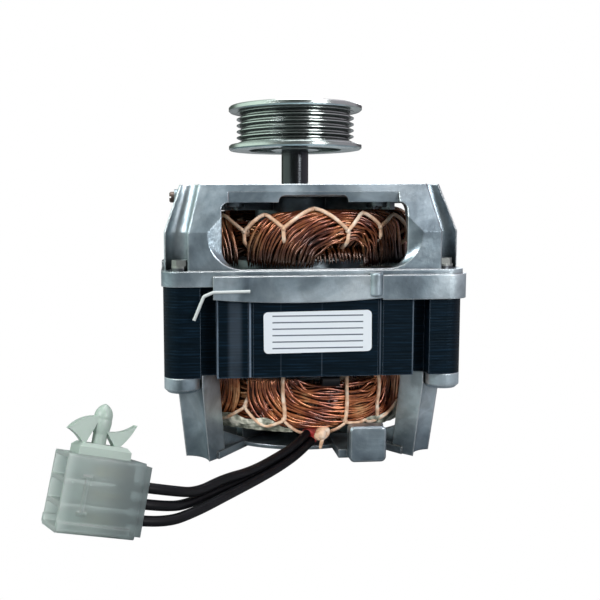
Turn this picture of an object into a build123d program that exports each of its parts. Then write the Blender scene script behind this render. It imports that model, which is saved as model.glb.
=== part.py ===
from build123d import *
import os
from math import acos, cos, pi, radians, sin, sqrt, tan

# An open-frame induction motor from a washing machine, with its belt pulley up and its feet down.
# The origin is on the shaft's axis in the plane of the feet, +Z runs towards the pulley,
# and the side with the rating label faces -Y. All lengths are in millimetres.

# Clearances that mating pieces share
seat_gap = 0.05
air_gap = 0.4
bush_running_gap = 0.03
press_gap = 0.02
hole_gap = 0.25
wrap_gap = 0.25
overrun = 3.0

# Stator core: a stack of square laminations with corner lugs
core_half = 51.5
core_stack = 31.0
core_bottom_z = 31.0
core_corner_r = 6.2
lug_w = 17.9
face_half = core_half - lug_w
notch_w = 5.5
notch_depth = 6.0
weld_x = 22.2
weld_r = 1.0
screw_inset = 6.2
screw_half = core_half - screw_inset
core_top_z = core_bottom_z + core_stack

# Slots in the core, with teeth on the X and Y axes
slot_count = 24
rotor_share = 0.52427
rotor_r = core_half * rotor_share
bore_r = rotor_r + air_gap
slot_mouth_w = 2.4
slot_mouth_depth = 2.0
slot_depth = 11.1
slot_shoulder_r = bore_r + slot_mouth_depth
slot_end_r = slot_shoulder_r + slot_depth
slot_inner_w = 3.9
slot_outer_w = 6.6
liner_t = 0.3
liner_proud = 2.2
wedge_t = 0.8
slot_step = 360 / slot_count

# Rotor: laminations on the shaft, with a die-cast aluminium cage
shaft_r = 5.25
shaft_bottom_z = 5.6
shaft_chamfer = 0.6
bar_count = 18
bar_w = 2.8
bar_h = 5.6
bar_inset = 4.4
bar_circle_r = rotor_r - bar_inset
end_ring_inset = 1.4
end_ring_w = 10.6
end_ring_outer_r = rotor_r - end_ring_inset
end_ring_inner_r = end_ring_outer_r - end_ring_w
end_ring_h = 6.6

# Belt pulley: five grooves of the 2.34 mm ribbed belt section between two flanges
groove_count = 5
groove_pitch = 2.34
groove_depth = 1.9
groove_floor = 0.35
ridge_tip = 0.3
ridge_r = 22.8
flange_r = 25.85
flange_t = 2.1
flange_edge = 0.5
flange_rise = 0.45
pulley_rise = 22.8
pulley_rim_t = 3.0
pulley_hub_r = 9.4
pulley_web_t = 4.6
pulley_lead_in = 0.6
shaft_end_recess = 0.5

# Upper end shield: a die-cast cage over the pulley end of the core
shield_wall = 3.0
bend_rise = 18.0
top_rise = 16.2
bend_z = core_top_z + bend_rise
shield_top_z = bend_z + top_rise
pulley_mid_z = shield_top_z + pulley_rise
base_inset = 0.5
base_corner = 8.2
top_lean = 5.5
top_corner = 6.8
post_t = 9.4
base_half = core_half - base_inset
base_flat_half = base_half - base_corner
top_half = base_half - top_lean
top_flat_half = top_half - top_corner
post_inner_flat_half = base_flat_half - post_t
top_plate_t = 4.2
ear_over = 0.6
ear_half = core_half + ear_over
ear_t = 5.2
window_inset = 1.9
window_half = face_half - window_inset
window_sill = 0.4
lintel_h = 6.2
window_head_z = shield_top_z - lintel_h
window_low_r = 7.0
window_high_r = 2.5
window_funnel_w = 4.8
window_funnel_t = 1.7
lintel_bevel_h = 3.6
lintel_edge_t = 0.7
arch_half = 12.0
arch_rise = 2.4
arch_r = 2.2
flute_r = 5.3
flute_out = 1.1
flute_lean = 4.0
flute_half = screw_half + flute_out
flute_top_r = 4.0
flute_top_half = flute_half - flute_lean
skirt_t = 1.7
skirt_drop = 4.2
skirt_sag = 1.3
skirt_over = 1.2
skirt_end = face_half + skirt_over
knuckle_x = 20.2
knuckle_r = 2.3
boss_r = 6.6
boss_rise = 1.1
boss_step_r = 9.0
boss_step_rise = 0.5
hub_r = 15.6
hub_depth = 16.0
rib_t = 3.0
rib_h = 4.6
plate_hole_inset = 18.5
plate_hole_half = top_half - plate_hole_inset
plate_hole_r = 2.1
plate_boss_r = 4.6
plate_boss_h = 7.0

# Lower end shield: ears, four channel legs, a bottom disc with its hub, and an upright pad
low_ear_t = 5.3
low_ear_w = 12.4
low_ear_edge = 1.2
leg_edge_in = (12.9, 4.5)
leg_inner_in = (19.3, 11.5)
leg_edge = [core_half - inset for inset in leg_edge_in]
leg_inner = [core_half - inset for inset in leg_inner_in]
leg_flute = 2.2
leg_wall = 3.0
leg_foot_share = 0.94
foot_t = 2.6
gusset_h = 11.0
gusset_half = 3.0
gusset_end_h = 2.4
disc_inset = 16.0
disc_r = core_half - disc_inset
disc_z = 0.8
disc_t = 1.4
low_hub_top_z = 19.4
low_rib_h = 4.5
pad_x = 12.0
pad_w = 12.8
pad_t = 4.8
pad_inset = 0.3
pad_front = core_half - pad_inset
pad_h = 12.6
pad_z = 0.4
pad_corner_r = 1.8
pad_edge = 1.1
pad_arm_t = 3.0
pad_arm_x = 9.0

# Self-aligning bushes, each with its felt ring and its spring retainer
bush_r = 8.6
bush_h = 12.0
bush_below_top = 9.2
bush_z = shield_top_z - bush_below_top
low_bush_z = 12.2
felt_inner_r = 9.0
felt_outer_r = 12.7
felt_h = 5.0
retainer_t = 0.6
retainer_hole_r = 7.8
finger_count = 6
finger_w = 2.4
washer_r = 8.0
washer_t = 0.6
clip_ring_r = 7.4
clip_ring_t = 1.0
clip_groove = 0.5
clip_mouth = 4.2

# Screws: four through the corners of the frame, and one for earthing on the left side
screw_r = 2.0
screw_head_w = 5.5
screw_head_h = 2.0
screw_flange_r = 3.4
screw_flange_t = 0.7
screw_tip_gap = 0.6
spring_washer_t = 0.9
spring_washer_slot = 0.8
earth_screw_r = 1.6
earth_head_r = 2.1
earth_head_t = 1.9
earth_head_edge = 0.5
earth_length = 3.4
earth_boss_r = 3.1
earth_boss_rise = 0.7
earth_below_top = 3.6
earth_z = shield_top_z - earth_below_top
cross_slot_w = 0.6
cross_slot_depth = 0.7

# Winding overhangs: a plain core, and the outer turns wound over it
wire_d = 2.4
turn_pitch = 3.2
turn_out = 3.35
turn_r = slot_end_r + turn_out
turn_start_rise = 6.0
turn_wall_h = 12.0
upper_turn_z = (core_top_z + turn_start_rise, core_top_z + turn_start_rise + turn_wall_h)
upper_turn_corner_r = 5.8
upper_turn_top_run = 4.4
low_turn_start_drop = 3.0
low_turn_wall_h = 12.4
low_turn_start_z = core_bottom_z - low_turn_start_drop
low_turn_z = (low_turn_start_z, low_turn_start_z - low_turn_wall_h)
low_turn_corner_r = 4.4
low_turn_foot_run = 0.9
overhang_inner_inset = 0.9
overhang_inner_r = slot_shoulder_r + overhang_inner_inset
overhang_lift = 2.5
overhang_edge = 2.4

# Lacing: flat cord tied round the overhangs between the coil sides
lace_w = 1.5
lace_t = 0.6
lace_teeth = (-2, -1, 1, 2)

# Insulation and sleeves at the foot of the lower overhang
band_t = 0.5
band_drop = 13.4
band_wall_h = 4.7
band_foot_h = 3.0
band_lean = 2.2
band_open_turns = (-106, -68)
sleeve_r = 3.1
sleeve_run = 5.0
sleeve_bend_r = 4.6
sleeve_side = -1.0
sleeve_inset = 3.85
sleeve_z = 6.5
sleeve_end = (sleeve_side, sleeve_inset - turn_r, sleeve_z)
sleeve_aim = (-0.55, -0.80, -0.21)
sleeve_across = (0.80, -0.55, 0.0)
joint_sleeve_r = 2.0
joint_sleeve_length = 6.0
joint_sleeve_x = 2.6

# Rating label, blank, and the nylon tie tail in front of the skirt
label_w = 36.9
label_h = 14.1
label_t = 0.12
label_corner_r = 1.5
label_x = 0.6
label_rise = 15.4
label_z = core_bottom_z + label_rise
label_turn = 0.6
tail_d = 1.1
tail_run = ((12.2, 1.4), (-0.1, 1.6), (-3.2, 2.9), (-6.5, 10.8))
tail_bend_r = 1.2

# Leads: three black leads from the sleeve to the connector, along the floor.
# Each has the turn of its start round the sleeve's middle, and the corners of its route,
# across and forward from the sleeve's end and up from the floor.
lead_d = 2.9
lead_spread_r = 1.75
lead_first_run = 9.5
lead_last_run = 8.8
lead_starts = {"lead_upper": 90, "lead_front": 330, "lead_rear": 210}
lead_corners = {
    "lead_upper": (
        (-13.3, -16.4, 4.6),
        (-23.0, -29.7, 4.4),
        (-32.8, -44.0, 6.9),
        (-40.9, -55.4, 6.9),
    ),
    "lead_front": (
        (-12.0, -17.6, 1.7),
        (-21.6, -30.9, 1.6),
        (-32.0, -46.4, 2.4),
        (-40.6, -59.2, 3.0),
    ),
    "lead_rear": (
        (-14.8, -15.2, 1.7),
        (-24.4, -28.6, 1.6),
        (-34.6, -43.6, 3.2),
        (-43.2, -56.6, 4.2),
    ),
}
lead_ways = {"lead_upper": 1, "lead_rear": 0, "lead_front": -1}
lead_bend_share = 0.45

# Connector: a three-way nylon housing that leans on the floor, with a push-in clip on it
conn_l = 22.6
conn_w = 14.7
conn_h = 19.5
conn_away = (-67.1, -74.0)
conn_middle_z = 13.9
conn_centre = (sleeve_end[0] + conn_away[0], sleeve_end[1] + conn_away[1], conn_middle_z)
conn_yaw = 19.3
conn_roll = 15.1
conn_pitch = -10.2
conn_wall = 1.2
conn_ways = 3
conn_shoulder = 1.9
conn_shoulder_inset = 1.6
conn_floor_t = 4.0
conn_lip = 0.9
conn_lip_h = 2.2
conn_edge = 0.5
conn_key_l = 0.8
conn_key_h = 9.0
conn_key_rise = 0.5
entry_spacing = 4.35
entry_drop = 1.2
entry_gap = 0.15
terminal_w = 4.4
terminal_h = 2.4
terminal_t = 0.5
terminal_length = 9.0
terminal_setback = 4.0
clip_base_l = 14.0
clip_base_w = 9.0
clip_base_h = 3.0
clip_base_shift = 1.0
clip_shift = -2.3
clip_neck_r = 1.9
clip_leaf_r = 2.4
clip_leaf_h = 8.0
clip_stem_h = 13.6
clip_left_wing = ((-1.0, 10.2), (-5.6, 9.0), (-8.8, 5.9), (-6.2, 4.4), (-4.2, 2.2))
clip_right_wing = ((1.0, 6.6), (5.4, 7.0), (9.2, 9.2), (7.4, 5.6), (4.6, 2.2))
clip_wing_w = 3.6


def plate(sketch, low_z, high_z):
    """A flat shape raised from low_z to high_z."""
    return extrude(Plane.XY.offset(low_z) * sketch, amount=high_z - low_z)


def ring(inner_r, outer_r, low_z, high_z):
    return plate(Circle(outer_r) - Circle(inner_r), low_z, high_z)


def turned(points):
    """A solid turned about Z from an outline of (radius, height) points."""
    return revolve(Plane.XZ * make_face(Polyline(*points, close=True)), axis=Axis.Z)


def chamfered_square(half, flat_half):
    corners = [
        (flat_half, half),
        (half, flat_half),
        (half, -flat_half),
        (flat_half, -half),
        (-flat_half, -half),
        (-half, -flat_half),
        (-half, flat_half),
        (-flat_half, half),
    ]
    return make_face(Polyline(*corners, close=True))


def rounded_square(half, corner_r):
    return RectangleRounded(2 * half, 2 * half, corner_r)


def corner_places(half):
    return [(half, half), (-half, half), (-half, -half), (half, -half)]


def round_the_shaft(solid, turns=(0, 90, 180, 270)):
    return [Rot(Z=turn) * solid for turn in turns]


# Stator core and what its slots hold


def slot_shape(inset, shoulder_r, end_r):
    """The slot on the X axis, drawn in on every side by inset."""
    rise = (slot_outer_w - slot_inner_w) / 2 / (slot_end_r - slot_shoulder_r)

    def half_width(radius):
        return slot_inner_w / 2 + rise * (radius - slot_shoulder_r) - inset

    low = half_width(shoulder_r)
    high = half_width(end_r - inset)
    points = [
        (shoulder_r, -low),
        (end_r - inset, -high),
        (end_r - inset, high),
        (shoulder_r, low),
    ]
    return make_face(Polyline(*points, close=True))


def at_slots(solid):
    return [Rot(Z=slot_step * (number + 0.5)) * solid for number in range(slot_count)]


def stator_core():
    plan = rounded_square(core_half, core_corner_r)
    notch_at = face_half + notch_w / 2
    notch = Rectangle(notch_w, 2 * notch_depth)
    for turn in (0, 90, 180, 270):
        for side in (-1, 1):
            plan -= Rot(Z=turn) * Pos(side * notch_at, core_half) * notch
            plan -= Rot(Z=turn) * Pos(side * weld_x, core_half + weld_r / 2) * Circle(weld_r)
    plan -= [Pos(x, y) * Circle(screw_r + hole_gap) for x, y in corner_places(screw_half)]
    mouth_length = slot_shoulder_r - rotor_r
    mouth = Pos(rotor_r + mouth_length / 2, 0) * Rectangle(mouth_length + seat_gap, slot_mouth_w)
    slot = slot_shape(0, slot_shoulder_r, slot_end_r) + mouth
    plan -= Circle(bore_r)
    plan -= at_slots(slot)
    return plate(plan, core_bottom_z, core_top_z)


def slot_liners():
    """Folded insulation that lines each slot and stands proud of the core at both ends."""
    outside = slot_shape(seat_gap, slot_shoulder_r + seat_gap, slot_end_r)
    inside = slot_shape(seat_gap + liner_t, slot_shoulder_r - overrun, slot_end_r)
    liner = plate(outside - inside, core_bottom_z - liner_proud, core_top_z + liner_proud)
    return at_slots(liner)


wedge_r = slot_shoulder_r + 2 * seat_gap
conductor_inset = liner_t + 2 * seat_gap


def slot_wedges():
    wedge = slot_shape(conductor_inset, wedge_r, slot_end_r)
    wedge &= Pos(wedge_r + wedge_t / 2, 0) * Rectangle(wedge_t, slot_outer_w)
    return at_slots(plate(wedge, core_bottom_z - liner_proud, core_top_z + liner_proud))


overhang_low_z = core_top_z + overhang_lift
low_overhang_top_z = core_bottom_z - overhang_lift


def slot_conductors():
    """The coil sides, from one overhang to the other."""
    side = slot_shape(conductor_inset, wedge_r + wedge_t + seat_gap, slot_end_r)
    return at_slots(plate(side, low_overhang_top_z, overhang_low_z))


# Winding overhangs

core_clear = wire_d / 2 + wrap_gap


def overhang(near_z, straight_z, corner_r, outer_r, run):
    """A plain ring of wire: near_z faces the core, and the far shoulder is rounded."""
    sign = 1 if straight_z > near_z else -1
    far_z = straight_z + sign * (corner_r - core_clear)
    r = corner_r - core_clear
    out = outer_r - core_clear
    inner_edge = overhang_inner_r + overhang_edge
    outline = Polyline(
        (inner_edge, far_z),
        (overhang_inner_r, far_z - sign * overhang_edge),
        (overhang_inner_r, near_z),
        (slot_end_r - seat_gap, near_z),
        (out, near_z + sign * overhang_edge),
        (out, far_z - sign * r),
    )
    shoulder_mid = (out - r + r * cos(pi / 4), far_z - sign * r * (1 - sin(pi / 4)))
    shoulder = ThreePointArc((out, far_z - sign * r), shoulder_mid, (out - r, far_z))
    face = make_face(outline + shoulder + Line((out - r, far_z), (inner_edge, far_z)))
    return revolve(Plane.XZ * face, axis=Axis.Z)


overhang_foot_z = low_turn_z[1] - low_turn_corner_r + core_clear


def turn_place(travel, start_z, end_z, corner_r, run):
    """Radius and height of the wire's middle after it has climbed by travel over the overhang."""
    sign = 1 if end_z > start_z else -1
    straight = abs(end_z - start_z)
    shoulder = corner_r * pi / 2
    if travel <= straight:
        return turn_r, start_z + sign * travel
    if travel <= straight + shoulder:
        angle = (travel - straight) / corner_r
        return turn_r - corner_r * (1 - cos(angle)), end_z + sign * corner_r * sin(angle)
    return turn_r - corner_r - (travel - straight - shoulder), end_z + sign * corner_r


def turns_points(start_z, end_z, corner_r, run):
    """Places and headings of the wire at every quarter turn."""
    length = abs(end_z - start_z) + corner_r * pi / 2 + run
    quarters = int(4 * length / turn_pitch)
    fine = 1e-3

    def place(quarter):
        radius, height = turn_place(turn_pitch * quarter / 4, start_z, end_z, corner_r, run)
        angle = quarter * pi / 2
        return Vector(radius * cos(angle), radius * sin(angle), height)

    places = [place(number) for number in range(quarters + 1)]
    headings = [(place(n + fine) - place(n - fine)).normalized() for n in range(quarters + 1)]
    return places, headings


def arc_between(start, heading, end):
    """The arc that leaves start along heading and passes through end."""
    chord = end - start
    along = chord.normalized()
    side = heading - along * heading.dot(along)
    half_turn = acos(max(-1, min(1, heading.dot(along))))
    sagitta = chord.length / 2 * tan(half_turn / 2)
    middle = start + chord * 0.5 + side.normalized() * sagitta
    return ThreePointArc(start, middle, end)


def biarc(start, heading, end, end_heading):
    """Two tangent arcs that join two places and keep the headings at both."""
    chord = end - start
    both = heading + end_heading
    a = 2 * (1 - heading.dot(end_heading))
    b = 2 * chord.dot(both)
    reach = (-b + sqrt(b * b + 4 * a * chord.dot(chord))) / (2 * a)
    joint = (start + end + (heading - end_heading) * reach) * 0.5
    back = arc_between(end, end_heading * -1, joint)
    return [arc_between(start, heading, joint), back]


def least_gap(places, corner_r):
    """Least space between one turn and the next, at every quarter turn."""
    gaps = [(places[n + 4] - places[n]).length - wire_d for n in range(len(places) - 4)]
    return min(gaps)


def outer_turns(label, start_z, end_z, corner_r, run):
    places, headings = turns_points(start_z, end_z, corner_r, run)
    edges = []
    for n in range(len(places) - 1):
        edges += biarc(places[n], headings[n], places[n + 1], headings[n + 1])
    print(label, "turns", (len(places) - 1) / 4, "least gap", round(least_gap(places, corner_r), 2))
    path = Wire(edges)
    section = Plane(origin=places[0], z_dir=headings[0]) * Circle(wire_d / 2)
    return sweep(section, path=path)


# Lacing, insulation and sleeves

lace_out = turn_r + wire_d / 2 + wrap_gap


eight_side_share = 2 - sqrt(2)


def lace_tie(near_z, far_z, corner_r):
    """One flat tie: an eight-sided loop round the overhang, in the XZ plane."""
    low = min(near_z, far_z)
    high = max(near_z, far_z)
    inner = overhang_inner_r - wrap_gap
    far_cut = eight_side_share * (corner_r + wire_d / 2 + wrap_gap)
    high_cut = far_cut if far_z > near_z else wrap_gap
    low_cut = wrap_gap if far_z > near_z else far_cut

    def loop(grow):
        more = eight_side_share * grow
        return make_face(
            Polyline(
                (inner - grow, low - grow + wrap_gap + more),
                (inner - grow, high + grow - wrap_gap - more),
                (inner - grow + wrap_gap + more, high + grow),
                (lace_out + grow - high_cut - more, high + grow),
                (lace_out + grow, high + grow - high_cut - more),
                (lace_out + grow, low - grow + low_cut + more),
                (lace_out + grow - low_cut - more, low - grow),
                (inner - grow + wrap_gap + more, low - grow),
                close=True,
            )
        )

    face = loop(lace_t) - loop(0)
    return extrude(Plane.XZ * face, amount=lace_w / 2, both=True)


def lacing(near_z, far_z, corner_r):
    tie = lace_tie(near_z, far_z, corner_r)
    turns = [90 * side + slot_step * tooth for side in range(4) for tooth in lace_teeth]
    return round_the_shaft(tie, turns)


band_r = lace_out + lace_t + wrap_gap


def insulation_band():
    """A soft strip round the lower overhang's foot, open where the leads come out."""
    top_z = core_bottom_z - band_drop
    knee_z = top_z - band_wall_h
    low_z = knee_z - band_foot_h
    points = [
        (band_r, top_z),
        (band_r + band_t, top_z),
        (band_r + band_t, knee_z),
        (band_r + band_t - band_lean, low_z),
        (band_r - band_lean, low_z),
        (band_r, knee_z),
    ]
    edges = [radians(turn) for turn in band_open_turns]
    reach = 2 * band_r
    mouth = [(0, 0)] + [(reach * cos(edge), reach * sin(edge)) for edge in edges]
    return turned(points) - plate(make_face(Polyline(*mouth, close=True)), low_z - overrun, top_z + overrun)


def sleeve_plane():
    """The plane of the sleeve's open end, square to the leads that leave it."""
    return Plane(origin=sleeve_end, x_dir=sleeve_across, z_dir=sleeve_aim)


def lead_sleeve():
    """The sleeve comes down out of the overhang's foot and bends towards the leads."""
    end = sleeve_plane()
    bend = end * Pos(0, 0, -sleeve_run)
    top = Vector(bend.position.X, bend.position.Y, overhang_foot_z)
    points = [end.origin, bend.position, top]
    path = FilletPolyline(*points, radius=sleeve_bend_r)
    section = Plane(origin=points[0], z_dir=points[1] - points[0]) * Circle(sleeve_r)
    return sweep(section, path=path)


def joint_sleeve():
    """A short black sleeve over a joint, tucked under the front edge of the core."""
    radius = turn_r + wire_d / 2 + lace_t + joint_sleeve_r + 2 * wrap_gap
    height = core_bottom_z - joint_sleeve_r - wrap_gap
    start = Plane(origin=(joint_sleeve_x, -radius, height), z_dir=(1, 0, 0))
    return extrude(start * Circle(joint_sleeve_r), amount=joint_sleeve_length)


# Rotor


def rotor_core():
    plan = Circle(rotor_r) - Circle(shaft_r + press_gap)
    hole = Rectangle(bar_h + 2 * press_gap, bar_w + 2 * press_gap)
    for number in range(bar_count):
        plan -= Rot(Z=360 / bar_count * number) * Pos(bar_circle_r, 0) * hole
    return plate(plan, core_bottom_z, core_top_z)


def rotor_cage():
    low_ring = ring(end_ring_inner_r, end_ring_outer_r, core_bottom_z - end_ring_h, core_bottom_z)
    high_ring = ring(end_ring_inner_r, end_ring_outer_r, core_top_z, core_top_z + end_ring_h)
    bars = [
        Rot(Z=360 / bar_count * number) * Pos(bar_circle_r, 0) * Rectangle(bar_h, bar_w)
        for number in range(bar_count)
    ]
    return low_ring + high_ring + plate(Sketch() + bars, core_bottom_z, core_top_z)


pulley_half_h = groove_count * groove_pitch / 2 + flange_rise + flange_t
pulley_top_z = pulley_mid_z + pulley_half_h
pulley_bottom_z = pulley_mid_z - pulley_half_h
shaft_top_z = pulley_top_z - shaft_end_recess
low_clip_z = low_bush_z + bush_h / 2 + 2 * washer_t + 4 * seat_gap
high_clip_z = bush_z - bush_h / 2 - 2 * washer_t - 4 * seat_gap - clip_ring_t


def shaft():
    top = shaft_top_z
    body = turned(
        [
            (0, shaft_bottom_z),
            (shaft_r - shaft_chamfer, shaft_bottom_z),
            (shaft_r, shaft_bottom_z + shaft_chamfer),
            (shaft_r, top - shaft_chamfer),
            (shaft_r - shaft_chamfer, top),
            (0, top),
        ]
    )
    for groove_z in (low_clip_z, high_clip_z):
        body -= ring(shaft_r - clip_groove, shaft_r + overrun, groove_z, groove_z + clip_ring_t)
    return body


def retaining_rings():
    mouth = Pos(clip_ring_r, 0) * Rectangle(2 * clip_ring_r, clip_mouth)
    shape = Circle(clip_ring_r) - Circle(shaft_r - clip_groove + seat_gap) - mouth
    height = clip_ring_t - 2 * seat_gap
    return [
        plate(shape, z + seat_gap, z + seat_gap + height) for z in (low_clip_z, high_clip_z)
    ]


def thrust_washers(first_z, step):
    """A steel washer and a fibre washer, face to face on the shaft."""
    solids = []
    for number in range(2):
        low_z = first_z + step * number * (washer_t + seat_gap)
        solids.append(ring(shaft_r + 3 * seat_gap, washer_r, low_z, low_z + washer_t))
    return solids


def pulley():
    half_band = groove_count * groove_pitch / 2
    top = pulley_top_z
    bottom = pulley_bottom_z
    outline = [
        (flange_r - flange_edge, bottom),
        (flange_r, bottom + flange_edge),
        (flange_r, bottom + flange_t - flange_edge),
        (flange_r - flange_edge, bottom + flange_t),
        (ridge_r, pulley_mid_z - half_band),
    ]
    flank = (groove_pitch - groove_floor - ridge_tip) / 2
    for number in range(groove_count):
        low_z = pulley_mid_z - half_band + groove_pitch * number
        outline.append((ridge_r, low_z + ridge_tip / 2))
        outline.append((ridge_r - groove_depth, low_z + ridge_tip / 2 + flank))
        outline.append((ridge_r - groove_depth, low_z + ridge_tip / 2 + flank + groove_floor))
        outline.append((ridge_r, low_z + groove_pitch - ridge_tip / 2))
    outline += [
        (ridge_r, pulley_mid_z + half_band),
        (flange_r - flange_edge, top - flange_t),
        (flange_r, top - flange_t + flange_edge),
        (flange_r, top - flange_edge),
        (flange_r - flange_edge, top),
    ]
    rim_r = ridge_r - groove_depth - pulley_rim_t
    half_web = pulley_web_t / 2
    bore = shaft_r + press_gap
    outline += [
        (rim_r, top),
        (rim_r, pulley_mid_z + half_web),
        (pulley_hub_r, pulley_mid_z + half_web),
        (pulley_hub_r, top),
        (bore + pulley_lead_in, top),
        (bore, top - pulley_lead_in),
        (bore, bottom + pulley_lead_in),
        (bore + pulley_lead_in, bottom),
        (pulley_hub_r, bottom),
        (pulley_hub_r, pulley_mid_z - half_web),
        (rim_r, pulley_mid_z - half_web),
        (rim_r, bottom),
    ]
    return turned([point for n, point in enumerate(outline) if point != outline[n - 1]])


# Bushes with their felts and retainers


def bush(middle_z):
    """A sintered bush: a ball cut flat at both ends, bored for the shaft."""
    half = bush_h / 2
    end_r = sqrt(bush_r**2 - half**2)
    bore = shaft_r + bush_running_gap
    side = ThreePointArc(
        (end_r, middle_z - half), (bush_r, middle_z), (end_r, middle_z + half)
    )
    ends = Polyline(
        (end_r, middle_z + half),
        (bore, middle_z + half),
        (bore, middle_z - half),
        (end_r, middle_z - half),
    )
    return revolve(Plane.XZ * make_face(side + ends), axis=Axis.Z)


pocket_r = felt_outer_r + seat_gap


def bearing_pocket(middle_z, mouth_z, outlet_z):
    """What is cut from a hub: a wide felt pocket, a cone that seats the ball, and the throat."""
    sign = 1 if outlet_z > mouth_z else -1
    seat_r = (bush_r + seat_gap) * cos(pi / 4)
    cone_low_r = felt_inner_r
    cone_low_z = middle_z + sign * (seat_r - (felt_inner_r - seat_r))
    cone_high_z = middle_z + sign * (seat_r + (seat_r - shaft_r - 2 * air_gap))
    points = [
        (0, mouth_z - sign * overrun),
        (pocket_r, mouth_z - sign * overrun),
        (pocket_r, cone_low_z),
        (cone_low_r, cone_low_z),
        (shaft_r + 2 * air_gap, cone_high_z),
        (shaft_r + 2 * air_gap, outlet_z + sign * overrun),
        (0, outlet_z + sign * overrun),
    ]
    return turned(points)


def felt_ring(middle_z):
    return ring(felt_inner_r, felt_outer_r, middle_z - felt_h / 2, middle_z + felt_h / 2)


def bush_retainer(middle_z, sign):
    """A stamped spring plate: a disc with fingers that hold the bush in its seat."""
    face_z = middle_z + sign * (felt_h / 2 + seat_gap)
    far_z = face_z + sign * retainer_t
    shape = Circle(felt_outer_r) - Circle(retainer_hole_r)
    gap_length = felt_inner_r - retainer_hole_r
    for number in range(finger_count):
        slot = Pos(retainer_hole_r + gap_length / 2, 0) * Rectangle(2 * gap_length, finger_w)
        shape -= Rot(Z=360 / finger_count * number) * slot
    return plate(shape, min(face_z, far_z), max(face_z, far_z))


# Upper end shield


def slope_at(z):
    """How far the upper shield's walls stand out at a height above the bend."""
    share = (z - bend_z) / (shield_top_z - bend_z)
    return base_half + (top_half - base_half) * share


def front_window():
    """The window in the wall that faces +Y, with its funnel and the bevel under the lintel."""
    sill_z = core_top_z + ear_t + window_sill
    height = window_head_z - sill_z
    inside = slope_at(window_head_z) - 2 * shield_wall
    facing = Plane(origin=(0, inside, 0), x_dir=(-1, 0, 0), z_dir=(0, 1, 0))
    middle_z = sill_z + height / 2
    opening = Pos(0, middle_z) * Rectangle(2 * window_half, height)
    low = [v for v in opening.vertices() if v.Y < middle_z]
    opening = fillet(low, window_low_r)
    high = [v for v in opening.vertices() if v.Y > window_head_z - window_high_r / 2]
    opening = fillet(high, window_high_r)
    hole = extrude(facing * opening, amount=base_half - slope_at(window_head_z) + 3 * shield_wall)
    wide = Pos(0, middle_z) * Rectangle(2 * (window_half + window_funnel_w), height)
    wide_low = [v for v in wide.vertices() if v.Y < middle_z]
    wide = fillet(wide_low, window_low_r + window_funnel_w)
    narrow = Pos(0, middle_z) * Rectangle(2 * window_half, height)
    narrow_low = [v for v in narrow.vertices() if v.Y < middle_z]
    narrow = fillet(narrow_low, window_low_r)
    face_plane = Plane(origin=(0, base_half, 0), x_dir=(-1, 0, 0), z_dir=(0, 1, 0))
    funnel = loft([face_plane.offset(-window_funnel_t) * narrow, face_plane * wide])
    return hole + funnel


def lintel_cuts():
    """The bevel and the shallow arch on the lintel of the front and the back window."""
    high_z = window_head_z + lintel_bevel_h
    inner_y = slope_at(window_head_z) - shield_wall + lintel_edge_t
    outer_y = slope_at(high_z)
    run = (outer_y - inner_y) / lintel_bevel_h
    points = [
        (inner_y, window_head_z),
        (base_half, window_head_z),
        (base_half, window_head_z + (base_half - inner_y) / run),
    ]
    bevel_half = window_half - window_high_r
    bevel = extrude(Plane.YZ * make_face(Polyline(*points, close=True)), amount=bevel_half, both=True)
    arch = Rectangle(2 * arch_half, 4 * arch_rise)
    arch = Pos(0, window_head_z - arch_rise) * fillet(arch.vertices(), arch_r)
    depth = slope_at(window_head_z) - 2 * shield_wall
    back = Plane(origin=(0, depth, 0), x_dir=(-1, 0, 0), z_dir=(0, 1, 0))
    return bevel + extrude(back * arch, amount=3 * shield_wall)


def skirt():
    """A lip that hangs over the core along the back and round its left corner."""
    inner = core_half + seat_gap
    lip = rounded_square(inner + skirt_t, core_corner_r + skirt_t) - rounded_square(inner, core_corner_r)
    low_z = core_top_z - skirt_drop - skirt_sag
    band = plate(lip, low_z, core_top_z + ear_t - skirt_t)
    reach = 2 * core_half
    region = Pos(skirt_end - reach / 2, skirt_end + reach / 2) * Rectangle(reach, reach)
    band &= plate(region, low_z, core_top_z + ear_t)
    left_end = -knuckle_x - knuckle_r
    right_end = skirt_end + seat_gap
    under = low_z - overrun
    arc_mid = ((left_end + right_end) / 2, low_z)
    arc = ThreePointArc((left_end, low_z + skirt_sag), arc_mid, (right_end, low_z + skirt_sag))
    end_z = low_z + skirt_sag
    below = Polyline((right_end, end_z), (right_end, under), (left_end, under), (left_end, end_z))
    facing = Plane(origin=(0, skirt_end, 0), x_dir=(1, 0, 0), z_dir=(0, -1, 0))
    trim = extrude(facing * make_face(arc + below), amount=-core_half)
    corner_trim = plate(
        Rectangle(3 * core_half, 3 * core_half) - Pos(left_end + 2 * core_half, 0) * Rectangle(4 * core_half, 3 * core_half),
        under,
        low_z + skirt_sag / 2,
    )
    return band - trim - corner_trim


def knuckle():
    """A small upright roll where the lip's middle meets its corner part."""
    low_z = core_top_z - skirt_drop + skirt_sag / 2
    high_z = core_top_z + ear_t - skirt_t / 2
    y = core_half + skirt_t - knuckle_r / 3
    roll = Pos(-knuckle_x, y, (low_z + high_z) / 2) * Cylinder(knuckle_r, high_z - low_z)
    roll = fillet(roll.edges().filter_by(GeomType.CIRCLE), knuckle_r / 3)
    return roll - Box(2 * core_half, 2 * (core_half + seat_gap), 2 * high_z)


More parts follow.
